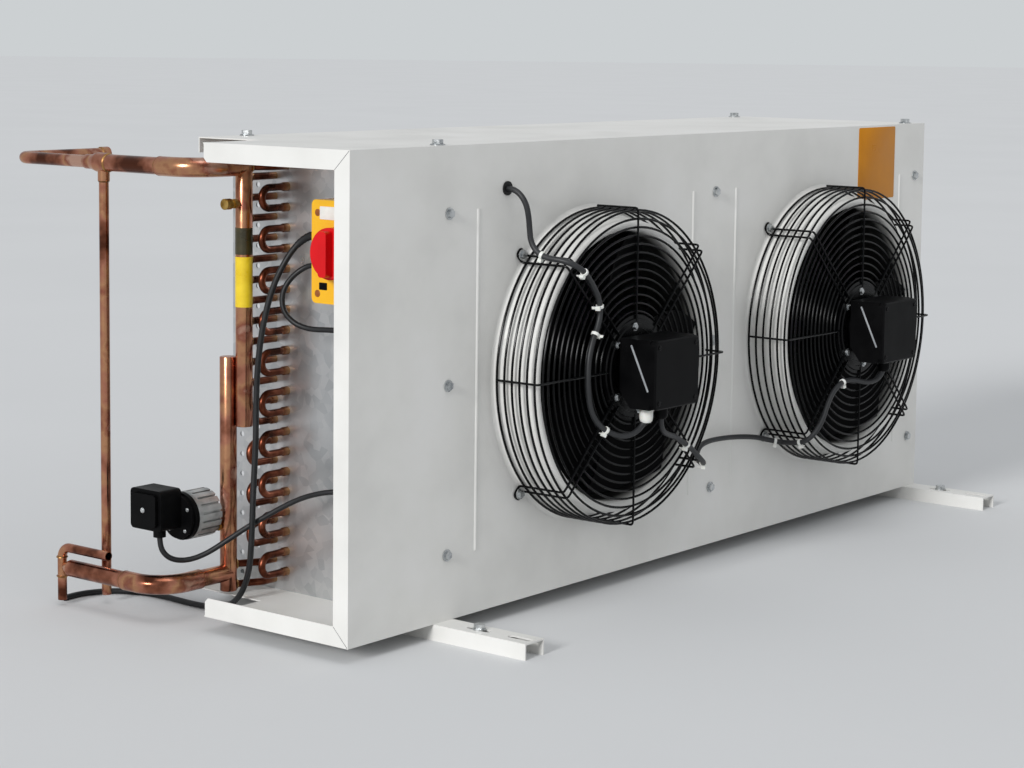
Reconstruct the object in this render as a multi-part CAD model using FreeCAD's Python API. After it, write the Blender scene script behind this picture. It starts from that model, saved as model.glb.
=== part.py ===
import FreeCAD, Part
import math
import os

from FreeCAD import Vector

# Air-cooled condenser with two axial fans, in millimetres.
# While it is drawn, X runs along the casing from its open service end, Y runs from the
# fan panel to the back, and Z runs up from the casing's underside. The last lines move
# everything so that the origin is the middle of the footprint, on the floor.

# Casing
casing_length = 1375.0
casing_depth = 352.0
casing_height = 590.0
sheet = 1.5
flange_width = 24.0
flange_short = 1.0
flange_corner = 5.0
return_width = 20.0
notch_length = 100.0
notch_depth = 111.0
bead_width = 6.4
bead_height = 1.2
bead_bottom = 80.0
bead_gap = 26.0

# End plates and middle plate
plate_sheet = 2.0
left_plate_x = 160.0
right_plate_gap = 22.0
plate_flange = 28.0
switch_lead_y = 94.0
switch_lead_z = 358.0
controller_lead_y = 111.5
controller_lead_z = 155.0

# Finned coil
tube_radius = 4.76
tube_pitch = 26.35
column_pitch = 21.65
column_count = 2
tubes_in_column = 21
upper_feeder_count = 11
lower_feeder_count = 2
coil_back_gap = 66.35
first_tube_z = 28.0
fin_margin = 11.0
fin_bottom = 8.0
fin_top_gap = 15.0
fin_spacing = 24.0
fin_groove = 6.0
groove_width = 2.4
bend_leg = 33.0
tucked_bend_leg = 25.7
hole_clearance = 0.3
spare_hole_radius = 3.5
spare_near_side = 30.35
spare_far_side = 59.35

# Headers and copper pipes
header_radius = 11.0
pipe_wall = 1.2
upper_header_x = 104.0
upper_header_drop = 333.0
lower_header_x = 97.0
lower_header_side = 21.65
lower_header_bottom = 7.0
lower_header_top = 312.0
braze_gap = 0.1
inlet_below_top = 34.0
inlet_x = 22.0
inlet_run = 170.35
inlet_tail_run = 163.0
inlet_return = 151.0
outlet_z = 31.0
outlet_x = -21.0
outlet_run = 185.7
outlet_stub = 89.0
outlet_stub_z = 57.0
outlet_foot = -13.0
elbow_radius = 44.0
socket_wall = 1.4
socket_length = 22.0
thin_radius = 8.0
drop_radius = 6.35
drop_bottom = -8.0
small_radius = 6.0

# Service valve on the upper header
valve_below_inlet = 47.0
valve_radius = 4.5
valve_length = 13.0
cap_radius = 7.0
cap_length = 12.0

# Fan speed controller
controller_side = 25.7
controller_z = 110.0
controller_radius = 31.0
controller_length = 39.0
controller_stub = 5.0
controller_fins = 18
fin_depth = 3.0
cover_length = 11.0
plug_width = 56.0
plug_height = 52.0
plug_length = 40.0

# Isolating switch
switch_width = 88.0
switch_height = 128.0
switch_depth = 64.0
switch_front_y = 62.0
switch_bottom = 393.0
switch_cover = 26.0
switch_corner = 7.0
knob_radius = 32.0
knob_disc = 14.0
grip_height = 56.0
grip_width = 13.0
grip_depth = 12.0
spindle_radius = 5.0
spindle_length = 14.0
running_clearance = 0.05

# Fans
fan_size = 350.0
fan_spacing = 585.0
fan_below_middle = 1.5
tip_clearance = 3.0
nozzle_base_radius = 212.0
nozzle_fillet = 12.0
nozzle_taper = 19.0
nozzle_flange = 14.0
nozzle_height = 57.5
nozzle_inside = 22.0
guard_inset = 6.0
guard_wire = 3.2
guard_back = 6.0
guard_depth = 60.0
spoke_plane = -72.0
side_rings = 6
front_rings = 12
ring_pitch = 11.0
arm_spacing = 12.0
eye_outset = 5.5
eye_radius = 7.5
eye_hole = 3.4
motor_radius = 51.0
motor_length = 56.0
stator_radius = 70.0
stator_thickness = 10.0
bearing_radius = 20.0
shaft_radius = 5.0
motor_gap = 2.0
rotor_wall = 5.0
hub_wall = 10.0
hub_clearance = 0.3
blade_count = 5
blade_chord = 124.0
blade_thickness = 5.0
blade_sweep = 26.0
blade_root_pitch = 36.0
blade_tip_pitch = 23.0
box_width = 100.0
box_height = 90.0
box_depth = 56.0
box_neck_radius = 38.0
box_neck = 12.0
box_lid = 9.0
box_corner = 8.0

# Cables
thick_cable = 3.9
thin_cable = 3.5
fan_cable = 3.75
cable_hole_side = 182.0
cable_hole_rise = 239.5
gland_radius = 9.0
gland_length = 10.0
grommet_radius = 9.0
grommet_hole_radius = 6.5
grommet_flange = 2.0
tie_width = 4.0
tie_thickness = 1.2

# Rails and fasteners
rail_width = 37.0
rail_height = 20.4
rail_sheet = 2.0
rail_overhang = 144.0
left_rail_x = 175.0
slot_length = 36.0
slot_width = 10.0
slot_first = 122.0
slot_second = 58.0
bolt_radius = 4.0
bolt_head_radius = 7.0
bolt_head_height = 5.3
washer_radius = 8.5
washer_thickness = 1.6
panel_screw_radius = 2.2
guard_screw_radius = 3.0
seat_gap = 0.2

# Hidden junction box in the left plenum
junction_length = 60.0
junction_width = 80.0
junction_height = 90.0
junction_y = 60.0
junction_z = 430.0
junction_port_y = 80.0
junction_port_z = 480.0

# Places that follow from the sizes above
right_plate_x = casing_length - right_plate_gap
plenum_middle = (left_plate_x + casing_length) / 2
fan_centres = (plenum_middle - fan_spacing / 2, plenum_middle + fan_spacing / 2)
fan_z = casing_height / 2 - fan_below_middle
notch_y = casing_depth - notch_depth
flange_end = notch_y - flange_short
bead_top = casing_height - bead_bottom
bead_offset = nozzle_base_radius + bead_gap
nozzle_rim_radius = nozzle_base_radius - nozzle_taper
guard_radius = nozzle_base_radius - guard_inset
eye_circle_radius = nozzle_base_radius + eye_outset
cable_hole_x = fan_centres[0] - cable_hole_side
cable_hole_z = fan_z + cable_hole_rise
first_column_y = (casing_depth - coil_back_gap - fin_margin
                  - (column_count - 1) * column_pitch)
columns_y = [first_column_y + column * column_pitch for column in range(column_count)]
fin_front = columns_y[0] - fin_margin
fin_back = columns_y[-1] + fin_margin
fin_top = casing_height - fin_top_gap
spare_near_y = columns_y[1] + spare_near_side
spare_far_y = columns_y[1] + spare_far_side
upper_header_y = columns_y[1]
lower_header_y = columns_y[1] + lower_header_side
inlet_z = casing_height - inlet_below_top
upper_header_top = inlet_z + header_radius + pipe_wall
upper_header_bottom = inlet_z - upper_header_drop
inlet_tee_y = upper_header_y + inlet_run
inlet_end_y = inlet_tee_y + inlet_tail_run
outlet_end_y = lower_header_y + outlet_run
valve_z = inlet_z - valve_below_inlet
controller_y = lower_header_y + controller_side
front_plane = spoke_plane + guard_wire
right_rail_x = casing_length - rail_width / 2
panel_screw_columns = (left_plate_x + 20.0, plenum_middle, right_plate_x - 8.0)
panel_screw_rows = (bead_bottom + 3.0, casing_height / 2, bead_top - 3.0)
top_bolt_columns = (left_plate_x + 15.0, right_plate_x - 16.0)
top_bolt_rows = (15.0, casing_depth - 12.0)
foot_bolt_columns = (left_plate_x + 15.0, casing_length - 12.0)
foot_bolt_rows = (60.0, 228.0)

X_AXIS = Vector(1, 0, 0)
Y_AXIS = Vector(0, 1, 0)
Z_AXIS = Vector(0, 0, 1)

nodes = {}


def block(x_range, y_range, z_range):
    """A box between two X, two Y and two Z values."""
    size = [high - low for low, high in (x_range, y_range, z_range)]
    return Part.makeBox(size[0], size[1], size[2], Vector(x_range[0], y_range[0], z_range[0]))


def rod(start, direction, radius, length):
    """A solid round bar."""
    return Part.makeCylinder(radius, length, Vector(*start), direction)


def ring(start, direction, outer, inner, length):
    """A round tube or a washer."""
    return rod(start, direction, outer, length).cut(rod(start, direction, inner, length))


def joined(shapes):
    """Touching or crossing shapes as one solid."""
    whole = shapes[0].fuse(shapes[1:]) if len(shapes) > 1 else shapes[0]
    return whole.removeSplitter()


def group(shapes):
    """Separate solids that share one node."""
    return Part.makeCompound(shapes)


def prism(points, direction):
    """A flat outline pushed along a direction."""
    return Part.Face(Part.makePolygon(points + [points[0]])).extrude(direction)


def rounded_bar(x_range, y_range, z_range, corner, axis):
    """A box whose four edges along one axis are rounded."""
    shape = block(x_range, y_range, z_range)
    edges = [edge for edge in shape.Edges
             if abs(abs(edge.tangentAt(edge.FirstParameter).dot(axis)) - 1) < 1e-6]
    return shape.makeFillet(corner, edges)


def bend_radii(points, factor=0.45):
    """The largest arc at each inner point that leaves both runs a straight part."""
    radii = []
    for before, here, after in zip(points, points[1:], points[2:]):
        turn = (here - before).getAngle(after - here)
        shorter = min((here - before).Length, (after - here).Length)
        radii.append(factor * shorter / math.tan(turn / 2))
    return radii


def run_and_arc_path(points, radii):
    """Straight runs joined by tangent arcs, one arc at each inner point."""
    edges = []
    start = points[0]
    for index, radius in enumerate(radii):
        before, here, after = points[index], points[index + 1], points[index + 2]
        way_in = (here - before).normalize()
        way_out = (after - here).normalize()
        turn = way_in.getAngle(way_out)
        setback = radius * math.tan(turn / 2)
        arc_start = here - way_in * setback
        arc_end = here + way_out * setback
        inward = (way_out - way_in).normalize()
        middle = here + inward * (radius / math.cos(turn / 2) - radius)
        if (arc_start - start).Length > 1e-6:
            edges.append(Part.LineSegment(start, arc_start).toShape())
        edges.append(Part.Arc(arc_start, middle, arc_end).toShape())
        start = arc_end
    if (points[-1] - start).Length > 1e-6:
        edges.append(Part.LineSegment(start, points[-1]).toShape())
    return Part.Wire(edges)


def swept_rod(points, radius, radii):
    """A round bar along straight runs and tangent arcs."""
    path = run_and_arc_path(points, radii)
    section = Part.Face(Part.Wire(Part.makeCircle(radius, points[0], points[1] - points[0])))
    solid = path.makePipe(section)
    expected = math.pi * radius ** 2 * path.Length
    if abs(solid.Volume - expected) > 0.01 * expected:
        print("volume differs from section times length:", solid.Volume, expected)
    return solid


def bent_pipe(points, radius, radii, wall=pipe_wall):
    """A hollow copper pipe along straight runs and tangent arcs."""
    outside = swept_rod(points, radius, radii)
    return outside.cut(swept_rod(points, radius - wall, radii))


def cable(name, route, radius):
    """A cable along its route, with its smallest bend printed."""
    points = [Vector(*point) for point in route]
    radii = bend_radii(points)
    solid = swept_rod(points, radius, radii)
    length = run_and_arc_path(points, radii).Length
    print(name, "length", round(length), "smallest radius", round(min(radii), 1),
          "in diameters", round(min(radii) / (2 * radius), 1))
    nodes[name] = solid


def hex_bolt(seat, direction, radius, head_radius, head_height, length, washer):
    """A hexagon bolt on its washer; direction points from the head into the work."""
    up = direction * -1
    base = Vector(*seat) + up * washer_thickness
    corner = (X_AXIS if abs(direction.z) > 0.5 else Z_AXIS) * head_radius
    points = [base + FreeCAD.Rotation(up, 60 * step).multVec(corner) for step in range(6)]
    head = prism(points, up * head_height)
    shank = rod(tuple(base), direction, radius, length + washer_thickness)
    plate = ring(seat, up, washer, radius + seat_gap / 2, washer_thickness)
    return [plate, joined([head, shank])]


# Casing: the two pressed inlet rings and the front panel they sit in
def fan_nozzle(centre_x):
    """The inlet ring of one fan, revolved, with a flat flange behind the front panel."""
    inner_radius = fan_size / 2 + tip_clearance
    lip_radius = (nozzle_rim_radius - inner_radius) / 2
    lip_y = -(nozzle_height - lip_radius)
    lip_centre = inner_radius + lip_radius
    fillet_leg = nozzle_fillet * math.sin(math.pi / 4)
    foot = nozzle_base_radius - seat_gap / 2

    def point(radius, y):
        return Vector(centre_x + radius, y, fan_z)

    fillet_low = point(foot - nozzle_fillet, -nozzle_fillet)
    fillet_mid = point(foot - fillet_leg, -nozzle_fillet + fillet_leg)
    wall_low = point(foot - nozzle_fillet - sheet, -nozzle_fillet + sheet)
    edges = [
        Part.Arc(point(foot, 0), fillet_mid, fillet_low).toShape(),
        Part.makeLine(fillet_low, point(nozzle_rim_radius, lip_y)),
        Part.Arc(point(nozzle_rim_radius, lip_y), point(lip_centre, -nozzle_height),
                 point(inner_radius, lip_y)).toShape(),
        Part.makeLine(point(inner_radius, lip_y), point(inner_radius, nozzle_inside)),
        Part.makeLine(point(inner_radius, nozzle_inside),
                      point(inner_radius + sheet, nozzle_inside)),
        Part.makeLine(point(inner_radius + sheet, nozzle_inside),
                      point(inner_radius + sheet, lip_y)),
        Part.Arc(point(inner_radius + sheet, lip_y), point(lip_centre, -nozzle_height + sheet),
                 point(nozzle_rim_radius - sheet, lip_y)).toShape(),
        Part.makeLine(point(nozzle_rim_radius - sheet, lip_y), wall_low),
        Part.makeLine(wall_low, point(foot - sheet, 2 * sheet)),
        Part.makeLine(point(foot - sheet, 2 * sheet), point(foot + nozzle_flange, 2 * sheet)),
        Part.makeLine(point(foot + nozzle_flange, 2 * sheet),
                      point(foot + nozzle_flange, sheet)),
        Part.makeLine(point(foot + nozzle_flange, sheet), point(foot, sheet)),
        Part.makeLine(point(foot, sheet), point(foot, 0)),
    ]
    face = Part.Face(Part.Wire(edges))
    axis_point = Vector(centre_x, 0, fan_z)
    halves = [face.revolve(axis_point, Y_AXIS, 180) for turn in range(2)]
    halves[1].rotate(axis_point, Y_AXIS, 180)
    return joined(halves).cut(eye_screw_holes(centre_x))


def eye_places(centre_x):
    """Where the four guard eyes of one fan are screwed to the panel."""
    leg = eye_circle_radius * math.sin(math.pi / 4)
    return [(centre_x + side * leg, fan_z + height * leg)
            for side in (-1, 1) for height in (-1, 1)]


def eye_screw_holes(centre_x):
    """Holes for the guard screws, through the panel and the ring's flange behind it."""
    return [rod((x, -1, z), Y_AXIS, guard_screw_radius + seat_gap, 2 * sheet + 2)
            for x, z in eye_places(centre_x)]


nodes["fan_nozzles"] = group([fan_nozzle(centre_x) for centre_x in fan_centres])


def stiffening_bead(x):
    """A shallow rib pressed outwards along the front panel."""
    bead_radius = (bead_width ** 2 / 4 + bead_height ** 2) / (2 * bead_height)
    bar = rod((x, bead_radius - bead_height, bead_bottom), Z_AXIS, bead_radius,
              bead_top - bead_bottom)
    return bar.common(block((x - bead_width, x + bead_width), (-bead_height, sheet / 2),
                            (bead_bottom, bead_top)))


def front_flange():
    """The narrow return at the open end, mitred into the top and bottom flanges."""
    outline = [Vector(0, 0, 0), Vector(0, flange_width, flange_width),
               Vector(0, flange_width, casing_height - flange_width),
               Vector(0, 0, casing_height)]
    return prism(outline, X_AXIS * sheet).common(
        block((0, sheet), (0, flange_width), (sheet, casing_height - sheet)))


def front_panel():
    inner_height = (sheet, casing_height - sheet)
    panel = block((0, casing_length), (0, sheet), inner_height)
    for centre_x in fan_centres:
        panel = panel.cut(rod((centre_x, -1, fan_z), Y_AXIS, nozzle_base_radius, sheet + 2))
    returns = [
        block((sheet, casing_length - sheet), (0, return_width), (sheet, 2 * sheet)),
        block((sheet, casing_length - sheet), (0, return_width),
              (casing_height - 2 * sheet, casing_height - sheet)),
        front_flange(),
    ]
    beads = [stiffening_bead(centre_x + side * bead_offset)
             for centre_x in fan_centres for side in (-1, 1)]
    panel = joined([panel] + returns + beads)
    holes = [rod((cable_hole_x, -1, cable_hole_z), Y_AXIS, grommet_hole_radius, sheet + 2)]
    for x in panel_screw_columns:
        for z in panel_screw_rows:
            holes.append(rod((x, -1, z), Y_AXIS, panel_screw_radius + seat_gap, sheet + 2))
    for x in top_bolt_columns:
        holes.append(rod((x, top_bolt_rows[0], casing_height - 5), Z_AXIS,
                         bolt_radius + seat_gap, 10))
    for centre_x in fan_centres:
        holes += eye_screw_holes(centre_x)
    return panel.cut(holes)


nodes["front_panel"] = front_panel()


# Casing: top, bottom and closed end
def end_flange_outline(base, side):
    """Outline of a top or bottom flange at the open end; side is +1 upwards, -1 downwards."""
    return [Vector(0, 0, base), Vector(0, flange_width, base + side * flange_width),
            Vector(0, flange_end - flange_corner, base + side * flange_width),
            Vector(0, flange_end, base + side * (flange_width - flange_corner)),
            Vector(0, flange_end, base)]


def cover_sheet(base, side):
    """The top or bottom sheet with its end flange, back flange and pipe notch."""
    low, high = sorted((base, base + side * sheet))
    plate = block((0, casing_length), (0, casing_depth), (low, high))
    end_flange = prism(end_flange_outline(base, side), X_AXIS * sheet)
    back_low, back_high = sorted((base, base + side * return_width))
    back_flange = block((notch_length, casing_length - sheet),
                        (casing_depth - sheet, casing_depth), (back_low, back_high))
    plate = joined([plate, end_flange, back_flange])
    return plate.cut(block((-1, notch_length), (notch_y, casing_depth + 1),
                           (back_low - 1, back_high + 1)))


def upright_holes(columns, rows, low, high):
    """Bolt holes along Z at every crossing of the given columns and rows."""
    return [rod((x, y, low), Z_AXIS, bolt_radius + seat_gap, high - low)
            for x in columns for y in rows]


nodes["top_panel"] = cover_sheet(casing_height, -1).cut(
    upright_holes(top_bolt_columns, top_bolt_rows, casing_height - 3, casing_height + 1))
nodes["bottom_plate"] = cover_sheet(0, 1).cut(
    upright_holes(foot_bolt_columns, foot_bolt_rows, -1, 3))

nodes["right_end_cover"] = joined([
    block((casing_length - sheet, casing_length), (sheet, casing_depth - sheet),
          (sheet, casing_height - sheet)),
    block((casing_length - sheet - return_width, casing_length),
          (casing_depth - 2 * sheet, casing_depth - sheet),
          (return_width, casing_height - return_width)),
])


# Coil: end plates, middle plate and fins
def tube_z(column, index):
    """Height of a tube; every other column is half a pitch lower."""
    return first_tube_z + (index - 0.5 * (column % 2)) * tube_pitch


def tube_place(column, index):
    return columns_y[column], tube_z(column, index)


def end_plate(face_x, side):
    """A galvanised plate with flanges at front, top and bottom, turned to one side."""
    low, high = sorted((face_x, face_x + side * plate_sheet))
    flange_low, flange_high = sorted((face_x, face_x + side * (plate_sheet + plate_flange)))
    inner = (2 * sheet, casing_height - 2 * sheet)
    behind = (return_width + 1, casing_depth - sheet)
    full = (sheet, casing_height - sheet)
    pieces = [
        block((low, high), (sheet, behind[1]), inner),
        block((low, high), behind, full),
        block((flange_low, flange_high), (sheet, sheet + plate_sheet), inner),
        block((flange_low, flange_high), behind, (full[0], full[0] + plate_sheet)),
        block((flange_low, flange_high), behind, (full[1] - plate_sheet, full[1])),
    ]
    plate = joined(pieces)
    holes = screw_holes([x for x in panel_screw_columns if flange_low < x < flange_high])
    holes += upright_holes([x for x in top_bolt_columns if flange_low < x < flange_high],
                           top_bolt_rows[1:], full[1] - plate_sheet - 1, full[1] + 1)
    holes += upright_holes([x for x in foot_bolt_columns if flange_low < x < flange_high],
                           foot_bolt_rows, full[0] - 1, full[0] + plate_sheet + 1)
    return plate.cut(holes)


def screw_holes(columns):
    """Holes for the panel screws, through the panel and whatever lies behind it."""
    return [rod((x, -1, z), Y_AXIS, panel_screw_radius + seat_gap, 8)
            for x in columns for z in panel_screw_rows]


# The left plate keeps two spare columns of tube holes, for a deeper coil.
plate_holes = []
for index in range(tubes_in_column):
    for y, z in ((spare_near_y, tube_z(0, index)), (spare_far_y, tube_z(1, index))):
        plate_holes.append(rod((left_plate_x - 1, y, z), X_AXIS, spare_hole_radius,
                               plate_sheet + 2))
lead_holes = ((switch_lead_y, switch_lead_z), (controller_lead_y, controller_lead_z))
for y, z in lead_holes:
    plate_holes.append(rod((left_plate_x - 1, y, z), X_AXIS, grommet_hole_radius,
                           plate_sheet + 2))
nodes["left_end_plate"] = end_plate(left_plate_x, 1).cut(plate_holes)
nodes["right_end_plate"] = end_plate(right_plate_x, -1)

partition_x = plenum_middle - plate_flange / 2
partition_height = (2 * sheet, casing_height - 2 * sheet)
partition = joined([
    block((partition_x, partition_x + plate_sheet), (sheet, fin_front), partition_height),
    block((partition_x, partition_x + plate_flange), (sheet, sheet + plate_sheet),
          partition_height),
])
nodes["centre_partition"] = partition.cut(screw_holes([plenum_middle]))


def coil_fins():
    """The fin pack as one block, with open slits where the air goes in and out."""
    x_range = (left_plate_x + plate_sheet, right_plate_x - plate_sheet)
    pack = block(x_range, (fin_front, fin_back), (fin_bottom, fin_top))
    count = int((x_range[1] - x_range[0]) / fin_spacing)
    slits = []
    for step in range(count):
        x = x_range[0] + (step + 0.5) * fin_spacing
        for y in (fin_front - 1, fin_back - fin_groove):
            slits.append(block((x, x + groove_width), (y, y + fin_groove + 1),
                               (fin_bottom - 1, fin_top + 1)))
    return pack.cut(slits)


nodes["coil_fins"] = coil_fins()


# Coil: hairpin bends between tube ends
def flat_sided_tube(centres, inwards, binormal, radius, sides):
    """A tube with flat sides through a chain of section centres."""
    rings = []
    for centre, inward in zip(centres, inwards):
        ring_points = []
        for corner in range(sides):
            angle = 2 * math.pi * (corner + 0.5) / sides
            ring_points.append(centre + inward * (radius * math.cos(angle))
                               + binormal * (radius * math.sin(angle)))
        rings.append(ring_points)
    faces = [Part.Face(Part.makePolygon(rings[0] + [rings[0][0]])),
             Part.Face(Part.makePolygon(rings[-1] + [rings[-1][0]]))]
    for near, far in zip(rings, rings[1:]):
        for corner in range(sides):
            following = (corner + 1) % sides
            faces.append(Part.Face(Part.makePolygon(
                [near[corner], near[following], far[following], far[corner], near[corner]])))
    solid = Part.Solid(Part.Shell(faces))
    if solid.Volume < 0:
        solid.reverse()
    return solid


def hairpin(first, second, plate_x, side, leg, sides, arc_steps):
    """A copper hairpin that joins two tube ends; side is the way it stands off the plate."""
    a = Vector(plate_x, first[0], first[1])
    b = Vector(plate_x, second[0], second[1])
    across = (b - a).normalize()
    away = X_AXIS * side
    half = (b - a).Length / 2
    turn_centre = (a + b) * 0.5 + away * leg
    centres, inwards = [a], [across]
    for step in range(arc_steps + 1):
        angle = math.pi * step / arc_steps
        outward = across * -math.cos(angle) + away * math.sin(angle)
        centres.append(turn_centre + outward * half)
        inwards.append(outward * -1)
    centres.append(b)
    inwards.append(across * -1)
    if leg < 1:
        centres, inwards = centres[1:-1], inwards[1:-1]
    return flat_sided_tube(centres, inwards, across.cross(away), tube_radius, sides)


def pair_up(column, first, last):
    """Neighbouring tubes of one column, two by two, as (place, place) pairs."""
    return [(tube_place(column, index), tube_place(column, index + 1))
            for index in range(first, last, 2)]


# Each front tube but the top one turns back at the left, and the lower back tubes do too.
# The bend beside the upper header has shorter legs, so that it clears the header.
top_row = tubes_in_column - 1
first_fed = tubes_in_column - upper_feeder_count
open_pairs = pair_up(0, 0, top_row) + pair_up(1, lower_feeder_count, first_fed - 2)
tucked_pairs = pair_up(1, first_fed - 2, first_fed)
nodes["left_return_bends"] = group(
    [hairpin(first, second, left_plate_x, -1, leg, 8, 6)
     for pairs, leg in ((open_pairs, bend_leg), (tucked_pairs, tucked_bend_leg))
     for first, second in pairs])

# At the right end the bends are one tube further up, and one slants between the columns.
right_pairs = pair_up(0, 1, top_row) + pair_up(1, 1, top_row)
right_pairs.append((tube_place(0, 0), tube_place(1, 0)))
nodes["right_return_bends"] = group(
    [hairpin(first, second, right_plate_x, 1, 0, 6, 4) for first, second in right_pairs])


# Headers and their feeder tubes
def feeder(column, index, header_x, header_y):
    """One tube from the coil to a header, bent where the header isn't straight ahead."""
    y, z = tube_place(column, index)
    start = Vector(left_plate_x, y, z)
    if abs(y - header_y) < 1:
        whole = rod(tuple(start), X_AXIS * -1, tube_radius, left_plate_x - header_x)
    else:
        knee = Vector(left_plate_x - 5 * tube_radius, y, z)
        whole = swept_rod([start, knee, Vector(header_x, header_y, z)], tube_radius,
                          [3 * tube_radius])
    return whole.cut(rod((header_x, header_y, z - 2 * tube_radius), Z_AXIS,
                         header_radius + braze_gap, 4 * tube_radius))


fed_tubes = [(1, index) for index in range(first_fed, tubes_in_column)] + [(0, top_row)]
nodes["upper_feeders"] = group(
    [feeder(column, index, upper_header_x, upper_header_y) for column, index in fed_tubes])
nodes["lower_feeders"] = group(
    [feeder(1, index, lower_header_x, lower_header_y)
     for index in range(lower_feeder_count)])


def header(x, y, low, high, pipe_z):
    """A standpipe with closed ends and a side hole for the pipe that meets it."""
    outside = rod((x, y, low), Z_AXIS, header_radius, high - low)
    inside = rod((x, y, low + pipe_wall), Z_AXIS, header_radius - pipe_wall,
                 high - low - 2 * pipe_wall)
    side_hole = rod((x - 2 * header_radius, y, pipe_z), X_AXIS,
                    header_radius - 2 * pipe_wall, 2 * header_radius)
    rim = [edge for edge in outside.Edges if abs(edge.BoundBox.ZLength) < 1e-6]
    return outside.makeChamfer(pipe_wall / 2, rim).cut([inside, side_hole])


nodes["upper_header"] = header(upper_header_x, upper_header_y, upper_header_bottom,
                               upper_header_top, inlet_z)
nodes["lower_header"] = header(lower_header_x, lower_header_y, lower_header_bottom,
                               lower_header_top, outlet_z)


# Copper pipes on the service side
def elbow_fitting(corner):
    """A long brazed elbow, with a socket for the pipe at each end."""
    corner = Vector(*corner)
    reach = elbow_radius + socket_length
    points = [corner + X_AXIS * reach, corner, corner + Y_AXIS * reach]
    outside = swept_rod(points, header_radius + socket_wall, [elbow_radius])
    inside = swept_rod(points, header_radius + braze_gap, [elbow_radius])
    return outside.cut(inside)


def header_branch(corner, header_x):
    """The short pipe from an elbow's socket to the side of its header."""
    start = corner[0] + elbow_radius + 2
    branch = ring((start, corner[1], corner[2]), X_AXIS, header_radius,
                  header_radius - pipe_wall, header_x - start)
    return branch.cut(rod((header_x, corner[1], corner[2] - 2 * header_radius), Z_AXIS,
                          header_radius + braze_gap, 4 * header_radius))


inlet_corner = (inlet_x, upper_header_y, inlet_z)
outlet_corner = (outlet_x, lower_header_y, outlet_z)
nodes["inlet_elbow"] = elbow_fitting(inlet_corner)
nodes["outlet_elbow"] = elbow_fitting(outlet_corner)
nodes["inlet_branch"] = header_branch(inlet_corner, upper_header_x)
nodes["outlet_branch"] = header_branch(outlet_corner, lower_header_x)

# The inlet pipe runs back to a tee, where the drop pipe hangs, and then gets thinner.
inlet_start_y = upper_header_y + elbow_radius + 2
tee_half = drop_radius + socket_wall + 2
tee_end_y = inlet_tee_y + tee_half
neck_y = tee_end_y + header_radius
sleeve = header_radius + socket_wall
inlet_outside = joined([
    rod((inlet_x, inlet_start_y, inlet_z), Y_AXIS, header_radius, tee_end_y - inlet_start_y),
    rod((inlet_x, inlet_tee_y - tee_half, inlet_z), Y_AXIS, sleeve, 2 * tee_half),
    Part.makeCone(sleeve, thin_radius + socket_wall, header_radius,
                  Vector(inlet_x, tee_end_y, inlet_z), Y_AXIS),
    rod((inlet_x, neck_y, inlet_z), Y_AXIS, thin_radius + socket_wall, socket_length / 2),
    rod((inlet_x, inlet_tee_y, inlet_z - sleeve - socket_length / 2), Z_AXIS,
        drop_radius + socket_wall, sleeve + socket_length / 2),
])
nodes["inlet_pipe"] = inlet_outside.cut([
    rod((inlet_x, inlet_start_y - 1, inlet_z), Y_AXIS, header_radius - pipe_wall,
        tee_end_y - inlet_start_y + 1),
    rod((inlet_x, inlet_tee_y, inlet_z), Y_AXIS, thin_radius + braze_gap,
        tee_half + header_radius + socket_length),
    rod((inlet_x, inlet_tee_y, inlet_z - sleeve - socket_length), Z_AXIS,
        drop_radius + braze_gap, sleeve + socket_length),
])

drop_top = inlet_z - header_radius + pipe_wall
drop_mouth = inlet_z - sleeve - socket_length / 2 - seat_gap
nodes["drop_pipe"] = joined([
    rod((inlet_x, inlet_tee_y, drop_bottom), Z_AXIS, drop_radius, drop_mouth - drop_bottom),
    rod((inlet_x, inlet_tee_y, drop_mouth), Z_AXIS, drop_radius - braze_gap,
        drop_top - drop_mouth),
]).cut(rod((inlet_x, inlet_tee_y, drop_bottom - 1), Z_AXIS, drop_radius - pipe_wall,
           drop_top - drop_bottom + 2))

tail_points = [Vector(inlet_x, neck_y + 1, inlet_z), Vector(inlet_x, inlet_end_y, inlet_z),
               Vector(inlet_x + inlet_return, inlet_end_y, inlet_z)]
tail_end_x = inlet_x + inlet_return
nodes["inlet_tail"] = joined([
    bent_pipe(tail_points, thin_radius, [2 * thin_radius]),
    ring((tail_end_x - socket_length / 2, inlet_end_y, inlet_z), X_AXIS,
         thin_radius + socket_wall, thin_radius - pipe_wall / 2, socket_length / 2),
    rod((tail_end_x, inlet_end_y, inlet_z), X_AXIS, thin_radius + socket_wall, pipe_wall),
])

# The outlet pipe ends in a cone that meets a thin upright, which turns at its top.
outlet_start_y = lower_header_y + elbow_radius + 2
cone_y = outlet_end_y - small_radius - header_radius
nodes["outlet_pipe"] = joined([
    rod((outlet_x, outlet_start_y, outlet_z), Y_AXIS, header_radius, cone_y - outlet_start_y),
    Part.makeCone(header_radius, small_radius, header_radius - braze_gap,
                  Vector(outlet_x, cone_y, outlet_z), Y_AXIS),
]).cut(rod((outlet_x, outlet_start_y - 1, outlet_z), Y_AXIS, header_radius - pipe_wall,
           cone_y - outlet_start_y - pipe_wall))

outlet_tail_points = [Vector(outlet_x, outlet_end_y - outlet_stub, outlet_stub_z),
                      Vector(outlet_x, outlet_end_y, outlet_stub_z),
                      Vector(outlet_x, outlet_end_y, outlet_foot)]
nodes["outlet_tail"] = bent_pipe(outlet_tail_points, small_radius, [2.4 * small_radius],
                                 pipe_wall / 1.5)


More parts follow.
